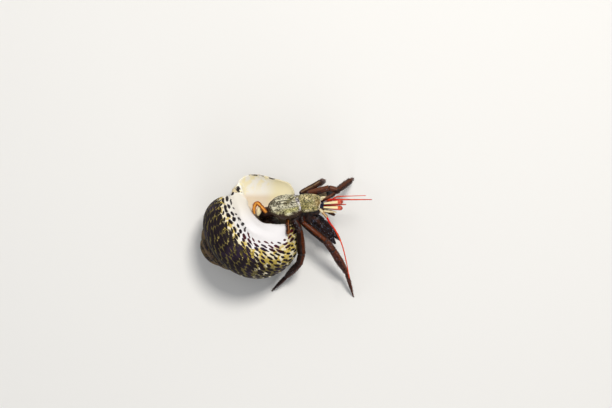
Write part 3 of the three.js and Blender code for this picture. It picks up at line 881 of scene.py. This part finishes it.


# main, dark and stripe-and-highlight colours, place and width around of the pale band (partly stripe, partly
# painted highlight), share of spots, strength of the ends
plateColours = {
    "rust": ((0.014, 0.005, 0.003), (0.007, 0.003, 0.002), (0.100, 0.021, 0.003), 0.23, 0.105, 0.15),
    "maroon": ((0.060, 0.014, 0.008), (0.016, 0.005, 0.004), (0.12, 0.03, 0.012), 0.14, 0.09, 0.2),
    "mauve": ((0.040, 0.014, 0.010), (0.014, 0.006, 0.005), (0.085, 0.028, 0.014), 0.20, 0.10, 0.2),
    "ridged": ((0.017, 0.006, 0.004), (0.008, 0.003, 0.002), (0.075, 0.016, 0.003), 0.12, 0.12, 0.15),
    # a darker copy of the ridged finish with a fainter band, for the hips and the end plates of the right
    # third leg that lie in shade: painted shade
    "night": ((0.017, 0.006, 0.005), (0.007, 0.003, 0.003), (0.055, 0.014, 0.008), 0.12, 0.07, 0.3),
    "claw": ((0.016, 0.008, 0.007), (0.006, 0.004, 0.004), (0.045, 0.015, 0.009), 0.25, 0.05, 0.5, 0.2),
    "olive": ((0.42, 0.35, 0.19), (0.070, 0.055, 0.030), (0.62, 0.53, 0.34), 0.25, 0.08, 0.3),
    "pale": ((0.065, 0.024, 0.012), (0.016, 0.007, 0.005), (0.19, 0.115, 0.06), 0.19, 0.05, 0.15),
    "striped": ((0.085, 0.026, 0.014), (0.018, 0.008, 0.008), (0.13, 0.045, 0.022), 0.15, 0.12, 0.2),
    "amber": ((0.42, 0.115, 0.012), (0.14, 0.030, 0.006), (0.70, 0.30, 0.050), 0.25, 0.09, 0.0),
    "ember": ((0.13, 0.030, 0.006), (0.012, 0.005, 0.003), (0.22, 0.07, 0.012), 0.20, 0.06, 0.1),
    "sand": ((0.40, 0.24, 0.11), (0.15, 0.065, 0.025), (0.55, 0.38, 0.19), 0.25, 0.10, 0.0),
}
plates = {name: crustMaterial(name + "Plate", *row) for name, row in plateColours.items()}
pearl = crustMaterial("pearlGrain", (0.16, 0.19, 0.27), (0.06, 0.07, 0.11), (0.26, 0.30, 0.38), spots=0.0)
cream = crustMaterial("creamScale", (0.74, 0.60, 0.34), (0.40, 0.20, 0.08), (0.80, 0.70, 0.44), spots=0.0)

# for each leg its joints, its hip, and for each plate its half widths, depth share and finish
walking = [
    {"name": "leg_2_right", "joints": [
        (-0.9, -4.5, 11.0), (5.0, -9.3, 10.8), (6.7, -11.6, 9.9), (10.3, -17.4, 4.7), (12.2, -23.9, 0)],
     "hip": ((-1.3, -1.7, 10.4), (-1, -4.4, 10.9)),
     "sizes": [((0.80, 1.0, 0.95), 1.1), ((0.92, 0.95, 0.92), 1),
               ((0.92, 1.0, 0.66), 1.1), ((0.54, 0.42, 0.12), 1)],
     "finish": ["rust", "mauve", "maroon", "maroon"], "rise": 0.4},
    {"name": "leg_3_right", "joints": [
        (-1.6, -6.4, 12.4), (-1.1, -12.6, 9.8), (-1.7, -15, 8.2), (-4.9, -18.4, 4.2), (-8.8, -22.3, 0)],
     "hip": ((-2.9, -4.2, 12.2), (-1.7, -6.3, 12.4)),
     "sizes": [((0.78, 1.05, 0.98), 1.1), ((0.92, 0.95, 0.88), 1),
               ((0.86, 0.90, 0.62), 1), ((0.52, 0.43, 0.12), 1)],
     "finish": ["ridged", "ridged", "night", "night"], "rise": 0.4},
    {"name": "leg_2_left", "joints": [
        (0.6, 2.7, 10.9), (5.9, 4, 11.8), (7.8, 3.4, 11.7), (11.2, 5.9, 7.5), (11.9, 6.4, 0)],
     "hip": None,
     "sizes": [((0.68, 0.80, 0.76), 1), ((0.70, 0.75, 0.70), 1),
               ((0.70, 0.86, 0.74), 1), ((0.50, 0.42, 0.12), 1)],
     "finish": ["striped", "striped", "mauve", "maroon"], "rise": 0.3},
    {"name": "leg_3_left", "joints": [
        (-1.1, 2.8, 9.8), (2, 4.5, 10.2), (3.6, 5.5, 10.1), (4.5, 5.8, 4.6), (3.8, 5, 0)],
     "hip": None,
     "sizes": [((0.70, 0.75, 0.70), 1), ((0.70, 0.72, 0.66), 1),
               ((0.62, 0.70, 0.55), 1), ((0.48, 0.42, 0.12), 1)],
     "finish": ["pale", "pale", "maroon", "maroon"], "rise": 0.3},
]
membranes = []  # (place, radius) of the soft skin at each hinge
coat = {"legs": [], "claws": [], "mouth": []}  # roots of the bristle tufts
bristles = {
    "slots": {"legs": "leg", "claws": "claw", "mouth": "small_leg"}, "seed": 70,
    "thick": 0.026, "tip": 0.15, "perTuft": 3, "stand": 0.42, "spread": 0.22, "sunk": 0.04,
    "patch": 0.0015, "lot": 12,  # size of each one's place on the unwrap, tufts built at a time
    "dark": (0.03, 0.01, 0.005, 1), "light": (0.11, 0.042, 0.016, 1),
}


def comb(bm, group, along, picks, length, column, columns, seed, low=0.0):
    # picks the roots of tufts on a plate; on the unwrap of the bristles each plate has a column
    dice = random.Random(seed)
    bm.normal_update()
    layer = bm.loops.layers.uv["length"]
    faces = [face for face in bm.faces if face.loops[0][layer].uv.x >= low]
    for face in dice.choices(faces, weights=[face.calc_area() for face in faces], k=picks):
        share, around = face.loops[0][layer].uv
        root = face.calc_center_median()
        coat[group].append((root, face.normal.copy(), along.normalized(), length * dice.uniform(0.6, 1.25),
                            (column + 0.04 + 0.92 * (around % 1)) / columns, 0.02 + 0.96 * share))


def bristleTuft(bm, dice, root, normal, along, length, u, v):
    layer = bm.loops.layers.uv["OFBake"]
    for _ in range(bristles["perTuft"]):
        astray = Vector([dice.gauss(0, bristles["spread"]) for _ in range(3)])
        lie = (along + normal * bristles["stand"] + astray).normalized()
        long = length * dice.uniform(0.7, 1.0)
        made = bmesh.ops.create_cone(
            bm, cap_ends=True, segments=3, radius1=bristles["thick"],
            radius2=bristles["thick"] * bristles["tip"], depth=long,
            matrix=turned(root - normal * bristles["sunk"] + lie * long / 2, lie))["verts"]
        for face in {face for vert in made for face in vert.link_faces}:
            for corner, (x, y) in zip(face.loops, ((-1, -1), (1, -1), (1, 1), (-1, 1))):
                corner[layer].uv = (u + x * bristles["patch"], v + y * bristles["patch"])


def buildCoat():
    material, tree, shader = newMaterial("bristle", 0.45, 0.0, 0.2, 0.35)
    tone = grain(inObject(tree), 900, 2, 0.5)
    dress(shader, mix(rise(tone, 0.38, 0.62), bristles["dark"], bristles["light"]))
    for number, (group, slot) in enumerate(bristles["slots"].items()):
        dice = random.Random(bristles["seed"] + number)
        whole = bmesh.new()
        # small lots, because an operator slows down as its mesh grows
        for first in range(0, len(coat[group]), bristles["lot"]):
            bm = bmesh.new()
            bm.loops.layers.uv.new("OFBake")
            for tuft in coat[group][first:first + bristles["lot"]]:
                bristleTuft(bm, dice, *tuft)
            lot = bpy.data.meshes.new("lot")
            bm.to_mesh(lot)
            bm.free()
            whole.from_mesh(lot)
            bpy.data.meshes.remove(lot)
        onFloor(whole)
        makePiece(group + "Bristles", whole, [material])


# bristle tufts and their length, stations and keel of each plate of a walking leg
legParts = {
    "merus": {"tufts": 50, "hair": 0.42, "steps": 24, "keel": 0.09},
    "carpus": {"tufts": 40, "hair": 0.42, "steps": 24, "keel": 0.04},
    "propodus": {"tufts": 110, "hair": 0.55, "steps": 34, "keel": 0.04},
    "dactyl": {"tufts": 120, "hair": 0.5, "steps": 34, "keel": 0.04},
}


def buildWalkingLegs():
    for number, leg in enumerate(walking):
        joints = places(leg["joints"])
        if leg["hip"]:
            bm = bmesh.new()
            hip = places(leg["hip"])
            plate(bm, *hip, (0.85, 0.92, 0.82), (0.75, 0.85, 0.75), keel=0)
            roughen(bm, 0.03, 3, number)
            makeFor(leg["name"] + "_ischium", bm, [plates["night"]], "leg")
            membranes.append((hip[0], 0.8))
        membranes.append((joints[0], leg["sizes"][0][0][0] * 0.92))
        for i, (part, form) in enumerate(legParts.items()):
            wides, deep = leg["sizes"][i]
            seed = number * 4 + i
            bm = bmesh.new()
            foot = {"foot": True, "rise": leg["rise"], "last": 0.03, "collar": 0} if part == "dactyl" else {}
            plate(bm, *joints[i:i + 2], wides, [wide * deep for wide in wides], steps=form["steps"],
                  keel=form["keel"], **foot)
            roughen(bm, 0.025, 3.5, seed)
            comb(bm, "legs", joints[i + 1] - joints[i], form["tufts"], form["hair"], seed, 16,
                 100 + seed, 0.05)
            if foot:
                onFloor(bm)
            else:
                granules(bm, 26, 0.055, 0, number * 9 + i, -0.6)
            makeFor(leg["name"] + "_" + part, bm, [plates[leg["finish"][i]]], "leg")
            if i:
                membranes.append((joints[i], wides[0] * 0.93))


claws = [
    {"name": "claw_right", "joints": [(0.4, -2.2, 9.3), (2.1, -3.6, 9.0), (3.6, -4.9, 8.5), (6.2, -7.7, 7.2)],
     "fixed": [(5.7, -8.0, 7.3), (7.5, -10.1, 6.0)], "moving": [(6.7, -7.0, 7.1), (8.7, -9.2, 5.7)],
     "hint": up, "sizes": [((1.1, 1.45, 1.45), 0.75), ((1.4, 1.65, 1.55), 0.72), ((1.5, 1.88, 1.6), 0.68)],
     "finger": (0.80, 0.70, 0.24), "finish": ["claw", "claw", "claw"], "grains": 190},
    {"name": "claw_left", "joints": [(1.3, 1.9, 8.8), (3.1, 2.4, 8.9), (5.1, 2.6, 8.6), (6.6, 2.9, 4.3)],
     "fixed": [(6.7, 2.3, 4.7), (7.2, 2.4, 1.5)], "moving": [(6.6, 3.4, 4.5), (7.1, 3.2, 1.5)],
     "hint": Vector((1, 0, 0)),
     "sizes": [((0.70, 0.85, 0.90), 0.94), ((0.85, 1.0, 1.0), 0.80), ((0.90, 1.27, 1.1), 0.82)],
     "finger": (0.54, 0.46, 0.2), "finish": ["olive", "olive", "claw"], "grains": 90},
]


def buildClaws():
    for number, claw in enumerate(claws):
        joints, name = places(claw["joints"]), claw["name"]
        fixed, moving = places(claw["fixed"]), places(claw["moving"])
        for i, part in enumerate(("merus", "carpus", "palm")):
            wides, deep = claw["sizes"][i]
            deeps = [wide * deep for wide in wides]
            along, column, seed = joints[i + 1] - joints[i], number * 4 + i, number * 5 + i
            bm = bmesh.new()
            if part == "palm":
                # the palm and its fixed finger are one plate
                plate(bm, *joints[i:i + 2], wides, deeps, sides=32, steps=28, keel=0, hint=claw["hint"],
                      last=0.25, high=-0.2)
                plate(bm, *fixed, claw["finger"], claw["finger"], keel=0, hint=claw["hint"], last=0.06)
                comb(bm, "claws", along, 110, 0.42, column, 8, 210 + number * 5, 0.1)
                bm = melted(bm, 0.1, 3)
                bm.loops.layers.uv.new("length")
                roughen(bm, 0.05, 2.0, seed)
                grains, more = claw["grains"], [name + "_fixed_finger"]
            else:
                plate(bm, *joints[i:i + 2], wides, deeps, sides=28, steps=26, keel=0.03)
                roughen(bm, 0.05, 2.4, seed)
                comb(bm, "claws", along, 60, 0.4, column, 8, 200 + seed, 0.1)
                grains, more = claw["grains"] // 2, []
            finish = [plates[claw["finish"][i]], pearl]
            granules(bm, grains, 0.07, 1, 40 + seed, -0.2)
            makeFor(name + "_" + part, bm, finish, "claw", *more)
            membranes.append((joints[i], wides[0] * deep * 0.95))
        bm = bmesh.new()
        plate(bm, *moving, claw["finger"], claw["finger"], keel=0, sides=24, steps=30, hint=claw["hint"],
              last=0.06, first=0.2)
        roughen(bm, 0.03, 3, number + 3)
        comb(bm, "claws", moving[1] - moving[0], 45, 0.35, number * 4 + 3, 8, 220 + number, 0.1)
        granules(bm, claw["grains"] // 4, 0.065, 1, 60 + number, -0.2)
        makeFor(name + "_moving_finger", bm, finish, "claw")


# feelers, mouth limbs and the small rear legs: points along each, half widths, slot
feelers = {
    "antenna_left_flagellum": (
        [(5.9, 1.1, 12.1), (9, 1.1, 12.3), (12.5, 1.1, 12.8), (16.45, 1.1, 13.6)],
        (0.27, 0.2, 0.15, 0.11), "antenna"),
    "antenna_right_flagellum": (
        [(5.2, -3.3, 11.8), (5.9, -4.6, 11.9), (7.4, -6.7, 12.2), (9, -10.2, 12.2),
         (10.1, -14.5, 11.4), (10.9, -18.7, 10.2)],
        (0.27, 0.22, 0.17, 0.14, 0.10), "antenna"),
    "antennule_left": (
        [(4.3, 0.1, 11.3), (6.3, 0.9, 11.2), (7.8, 1.8, 11.4), (11.5, 2, 12), (15, 2.1, 12.8)],
        (0.26, 0.22, 0.18, 0.10, 0.08), "antenna"),
    "antennule_right": (
        [(4.3, -0.4, 11.7), (6.3, -0.3, 11.7), (8, -0.2, 12.1), (10, -0.1, 13.4)],
        (0.28, 0.25, 0.2, 0.12), "antenna"),
    "maxilliped_left": (
        [(3.9, 0.5, 11.5), (4.7, 1.2, 12.75), (6.0, 1.95, 12.6), (7.4, 2.7, 11.6), (8.4, 2.95, 10.6)],
        (0.26, 0.32, 0.38, 0.36, 0.22), "leg"),
    "maxilliped_right": (
        [(3.8, -1.1, 10.9), (5.5, -1.9, 10.6), (7.25, -2.8, 10.2)],
        (0.42, 0.52, 0.3), "leg"),
    "leg_4_right": (
        [(-4.6, -3.9, 12.4), (-4.5, -5.3, 13.3), (-4.4, -6.4, 13.6), (-4.5, -7.55, 13.4)],
        (0.40, 0.56, 0.46, 0.60, 0.34), "small_leg"),
    "leg_4_left": (
        [(-5.1, 1.0, 11.6), (-5.7, 1.5, 10.0), (-5.9, 1.75, 8.1)],
        (0.44, 0.36, 0.48, 0.2), "small_leg"),
    "leg_5_right": (
        [(-9.9, -2.2, 11.4), (-11.3, -0.5, 11.4), (-12.3, 0.2, 11.2), (-13, -0.9, 11), (-12.9, -2.5, 10.9)],
        (0.42, 0.54, 0.56, 0.5, 0.28), "small_leg"),
    "leg_5_left": (
        [(-8.4, -0.6, 10.8), (-8.7, -0.2, 9.0), (-8.8, 0.1, 7.1)],
        (0.38, 0.30, 0.42, 0.18), "small_leg"),
}


def feelerMaterial():
    paint = {
        "red": (0.74, 0.006, 0.003, 1), "orange": (0.76, 0.065, 0.006, 1),
        "deepRed": (0.42, 0.006, 0.003, 1),
    }
    material, tree, shader = newMaterial("redFeeler", 0.35, 0.1, 0.15, 0.2)
    along = mapped(tree, "length")[0]
    soft = grain(inObject(tree), 900, 3, 0.6)
    colour = mix(rise(along, 0.1, 0.55), paint["red"], paint["orange"])
    colour = mix(rise(soft, 0.45, 0.75), colour, paint["deepRed"])
    dress(shader, colour, None, (along * 330.0).calc("SINE"), 0.02)
    return material


limbFinish = {
    "leg_5_right": "amber", "leg_4_right": "ember", "leg_4_left": "sand", "leg_5_left": "sand",
    "maxilliped_left": "striped", "maxilliped_right": "rust",
}
# the pale inner joint between the two bars of the last right leg
innerJoint = [(-11.7, -0.7, 11.1), (-12.0, -3.0, 10.4)]
# the stout bases of the antennae, each with a thin scale beside it
antennaBases = {
    "left": {"base": [(3.7, 1.2, 12), (6.05, 1.1, 12.05)],
             "scale": [(3.8, 1.5, 12.3), (5.3, 1.75, 12.4)], "finish": (1, 0, 0)},
    "right": {"base": [(3.5, -1.3, 12.2), (5.3, -3.35, 11.8)],
              "scale": [(4.5, -1.6, 12.3), (7.7, -2.1, 12.4)], "finish": (1, 2, 2)},
}
baseParts = ((0, 0.38, 0.42), (0.33, 0.62, 0.40), (0.58, 1.0, 0.36))  # start, end, half width of each segment


def buildFeelers():
    red = feelerMaterial()
    for number, (name, (points, wides, slot)) in enumerate(feelers.items()):
        bm = bmesh.new()
        points = places(points)
        thin = slot == "antenna"
        spans = len(points) - 1
        steps = (26 if thin else 16) * spans
        stations = []
        for i in range(steps + 1):
            share = i / steps
            wide = spline(wides, share)
            if thin:
                wide *= 1 + 0.09 * sin(share * spans * 60)
            elif 0.1 < share < 0.9:
                # each limb joint is a slight waist
                wide *= 1 - bump((share * spans + 0.5) % 1, 0.5, 0.12, 0.22)
            stations.append((spline(points, share), wide, wide, wide))
        loft(bm, ringsThrough(blunted(stations, 0.03, 0.02), 10 if thin else 18))
        if not thin:
            roughen(bm, 0.03, 4, number)
            if limbFinish[name] != "sand":
                comb(bm, "mouth", points[-1] - points[0], 45, 0.36, number, len(feelers), 300 + number, 0.3)
        if name == "leg_5_right":
            plate(bm, *places(innerJoint), (0.4, 0.66, 0.4), (0.3, 0.4, 0.3), steps=18, keel=0, first=0.4,
                  last=0.4, material=1)
        makeFor(name, bm, [red if thin else plates[limbFinish[name]], cream], slot)
    for side, form in antennaBases.items():
        bm = bmesh.new()
        start, end = places(form["base"])
        span = end - start
        for (low, high, wide), material in zip(baseParts, form["finish"]):
            wides = (wide * 0.8, wide, wide * 0.92)
            plate(bm, start + span * low, start + span * high, wides, wides, steps=14, sides=18, keel=0,
                  last=0.12, material=material)
        plate(bm, *places(form["scale"]), (0.34, 0.36, 0.1), (0.2, 0.2, 0.08), steps=16, sides=16, keel=0,
              last=0.1, material=1)
        makeFor("antenna_" + side + "_base", bm, [red, cream, plates["sand"]], "antenna")


def eyeMaterials():
    paint = {
        "cream": (0.88, 0.76, 0.42, 1), "sand": (0.84, 0.66, 0.32, 1), "lineRoot": (0.03, 0.004, 0.006, 1),
        "lineTip": (0.5, 0.014, 0.004, 1), "ring": (0.62, 0.05, 0.008, 1), "root": (0.008, 0.011, 0.03, 1),
        "eyeOrange": (0.66, 0.075, 0.01, 1), "eyeRed": (0.34, 0.02, 0.005, 1),
    }
    stalk, tree, shader = newMaterial("creamStalk", 0.3, 0.5)
    along, around = mapped(tree, "length")
    soft = grain(inObject(tree), 1500, 3, 0.6)
    # a red line along each side, wider on the right
    side = shifted(abs((around * 2.0 + 0.5).calc("FRACT") - 0.5), soft, 0.1)
    side = side - rise(around, 0.22, 0.32) * fall(around, 0.66, 0.78) * 0.16
    colour = mix(rise(soft, 0.4, 0.7), paint["cream"], paint["sand"])
    line = mix(rise(along, 0.3, 0.75), paint["lineRoot"], paint["lineTip"])
    colour = mix(fall(side, 0.17, 0.22), colour, line)
    colour = mix(rise(along, 0.88, 0.95), colour, paint["ring"])
    colour = mix(fall(shifted(along, soft, 0.15), 0.11, 0.17), colour, paint["root"])
    dress(shader, colour, None, soft, 0.03)
    eye, tree, shader = newMaterial("eyeSurface", 0.08, 1.0, 0.04)
    along = mapped(tree, "length")[0]
    cells = take(tree, "TexVoronoi", {"Vector": inObject(tree), "Scale": 14000.0}, output="Distance")
    colour = mix(rise(along, 0.45, 0.8), paint["eyeOrange"], paint["eyeRed"])
    dress(shader, colour, None, cells, 0.01)
    return stalk, eye


# root and tip of each stalk, the tip of its eye, and their half widths and half heights
eyes = {
    "left": [(4.0, 0.05, 13.15), (8.3, 0.42, 13.72), (9.25, 0.6, 13.9)],
    "right": [(4.0, -0.85, 13.05), (8.3, -1.0, 13.42), (9.15, -1.1, 13.5)],
    "stalkWides": (0.26, 0.38, 0.5, 0.56), "stalkDeeps": (0.30, 0.40, 0.5, 0.56),
    "eyeWides": (0.54, 0.60, 0.52),
}


def buildEyes():
    stalk, eye = eyeMaterials()
    for side in ("left", "right"):
        start, end, tip = places(eyes[side])
        bm = bmesh.new()
        plate(bm, start, end, eyes["stalkWides"], eyes["stalkDeeps"], steps=30, sides=28, keel=0,
              power=2, collar=0, first=0.1, last=0.08)
        makeFor("eyestalk_" + side, bm, [stalk], "eyestalk")
        bm = bmesh.new()
        plate(bm, end - (tip - end).normalized() * 0.4, tip, eyes["eyeWides"], eyes["eyeWides"], steps=26,
              sides=32, keel=0, power=2, collar=0, first=0.4, last=0.5)
        makeFor("eye_" + side, bm, [eye], "eye")


def skinMaterial():
    paint = {
        "brown": (0.06, 0.028, 0.02, 1), "dark": (0.022, 0.012, 0.012, 1),
        "headDark": (0.012, 0.008, 0.01, 1), "headBrown": (0.042, 0.016, 0.009, 1),
        "blue": (0.01, 0.014, 0.045, 1), "pale": (0.15, 0.13, 0.16, 1),
    }
    material, tree, shader = newMaterial("softSkin", 0.42, 0.0, 0.2, 0.2)
    place = inObject(tree)
    broad = grain(place, 300, 3, 0.55)
    soft = grain(place, 1300, 4, 0.6)
    colour = mix(rise(broad, 0.4, 0.62), paint["brown"], paint["dark"])
    head = mix(rise(soft, 0.42, 0.6), paint["headDark"], paint["headBrown"])
    colour = mix(rise(split(place)[0], 0.0016, 0.0042), colour, head)
    # blue skin between the eyestalks
    apart = take(tree, "VectorMath", {0: place, 1: at(4.0, -0.3, 13.0) * mm}, output="Value",
                 operation="DISTANCE")
    colour = mix(fall(apart, 0.0008, 0.0012), colour, paint["blue"])
    colour = mix(rise(soft, 0.6, 0.7) * 0.4, colour, paint["pale"])
    dress(shader, colour, soft * 0.3 + 0.3, soft, 0.06)
    return material


skin = {
    # short roots from the trunk to each limb: start, end, half width
    "roots": [
        ((0.3, -0.8, 11.3), (-1.2, -2.6, 10.6), 1.05), ((-1.2, -1, 11.8), (-3.0, -4.1, 12.0), 0.95),
        ((-3.0, -1.6, 12.0), (-4.6, -3.6, 12.2), 0.75), ((2.2, -0.6, 11.4), (1.2, -2.2, 10.2), 1.15),
        ((3.2, -0.8, 11.3), (2.4, -2.4, 10.3), 0.9), ((0.9, -1.2, 11.0), (0.35, -4.7, 9.7), 1.0),
        ((0.6, -3.0, 9.8), (1.2, -5.0, 9.2), 0.65), ((1.2, -0.7, 10.8), (0.3, -2.1, 10.0), 1.0),
        ((1.0, 0.9, 11.2), (0.8, 2.8, 10.9), 0.62), ((0.0, 0.9, 10.9), (-1.0, 2.9, 9.8), 0.6),
        ((1.6, 0.6, 10.4), (1.4, 2.0, 8.8), 0.6)],
    "grainSize": 0.12, "bellyCrease": 0.03, "bellyUp": Vector((0.6, -0.5, 0.62)),
}


def buildSkin():
    bm = bmesh.new()
    for part in ("thorax", "head"):
        loft(bm, ringsThrough(blunted(smoothStations(body[part], 20), 0.1, 0.1), 24))
    belly = []
    for i, (place, *halves) in enumerate(blunted(smoothStations(body["abdomen"], 90), 0.02, 0.04)):
        # ring creases along the belly
        crease = 1 + skin["bellyCrease"] * sin(i * 0.9)
        belly.append((place, *(half * crease for half in halves)))
    loft(bm, ringsThrough(belly, 28, skin["bellyUp"]))
    for start, end, wide in skin["roots"]:
        plate(bm, at(*start), at(*end), (wide,) * 3, (wide,) * 3, steps=10, sides=16, keel=0)
    for place, radius in membranes:
        bmesh.ops.create_uvsphere(bm, u_segments=20, v_segments=14, radius=radius,
                                  matrix=Matrix.Translation(place))
    bm = melted(bm, skin["grainSize"], 3)
    roughen(bm, 0.05, 2.5, 11)
    onFloor(bm)
    makePiece("softSkin", bm, [skinMaterial()], ("thorax", "abdomen", "head"))


buildCarapace()
print("carapace done")
buildWalkingLegs()
buildClaws()
print("legs and claws done")
buildFeelers()
buildEyes()
buildSkin()
print("feelers, eyes and skin done")
buildCoat()
print("bristles done")

stage = {
    "floorSize": 3.0, "floorColour": (0.78, 0.77, 0.75, 1),
    "worldColour": (0.93, 0.96, 1.0, 1), "worldStrength": 0.34,
    "camera": (-middle.x * mm, -middle.y * mm, 0.45), "lens": 36 * 438 / 153, "sensor": 36,
    # each lamp's place, size, power and colour
    "keyLamp": ((0.11, 0.21, 0.49), 0.14, 2.25, (1.0, 0.97, 0.92)),
    "fillLamp": ((-0.35, 0.20, 0.30), 0.30, 0.26, (1, 1, 1)),
    "backLamp": ((0.05, -0.42, 0.22), 0.30, 0.468, (1, 1, 1)),
}


def stand(name, data, place):
    thing = bpy.data.objects.new(name, data)
    thing.location = place
    bpy.context.scene.collection.objects.link(thing)
    return thing


def buildStage():
    bm = bmesh.new()
    bmesh.ops.create_grid(bm, x_segments=1, y_segments=1, size=stage["floorSize"] / 2)
    mesh = bpy.data.meshes.new("floor")
    bm.to_mesh(mesh)
    bm.free()
    material, _, shader = newMaterial("paleFloor", 0.6)
    dress(shader, stage["floorColour"])
    mesh.materials.append(material)
    stand("floor", mesh, (0, 0, 0))
    world = bpy.data.worlds.new("studio")
    world.use_nodes = True
    sky = world.node_tree.nodes["Background"]
    sky.inputs["Color"].default_value = stage["worldColour"]
    sky.inputs["Strength"].default_value = stage["worldStrength"]
    bpy.context.scene.world = world
    for name in ("keyLamp", "fillLamp", "backLamp"):
        place, size, power, colour = stage[name]
        light = bpy.data.lights.new(name, "AREA")
        light.shape, light.size, light.energy, light.color = "DISK", size, power, colour
        stand(name, light, place).rotation_euler = (-Vector(place)).to_track_quat("-Z", "Y").to_euler()
    camera = bpy.data.cameras.new("camera")
    camera.lens, camera.sensor_width = stage["lens"], stage["sensor"]
    camera.clip_start, camera.clip_end = 0.005, 20
    bpy.context.scene.camera = stand("camera", camera, stage["camera"])
    bpy.context.scene.view_settings.view_transform = "Standard"


buildStage()
print("stage done")
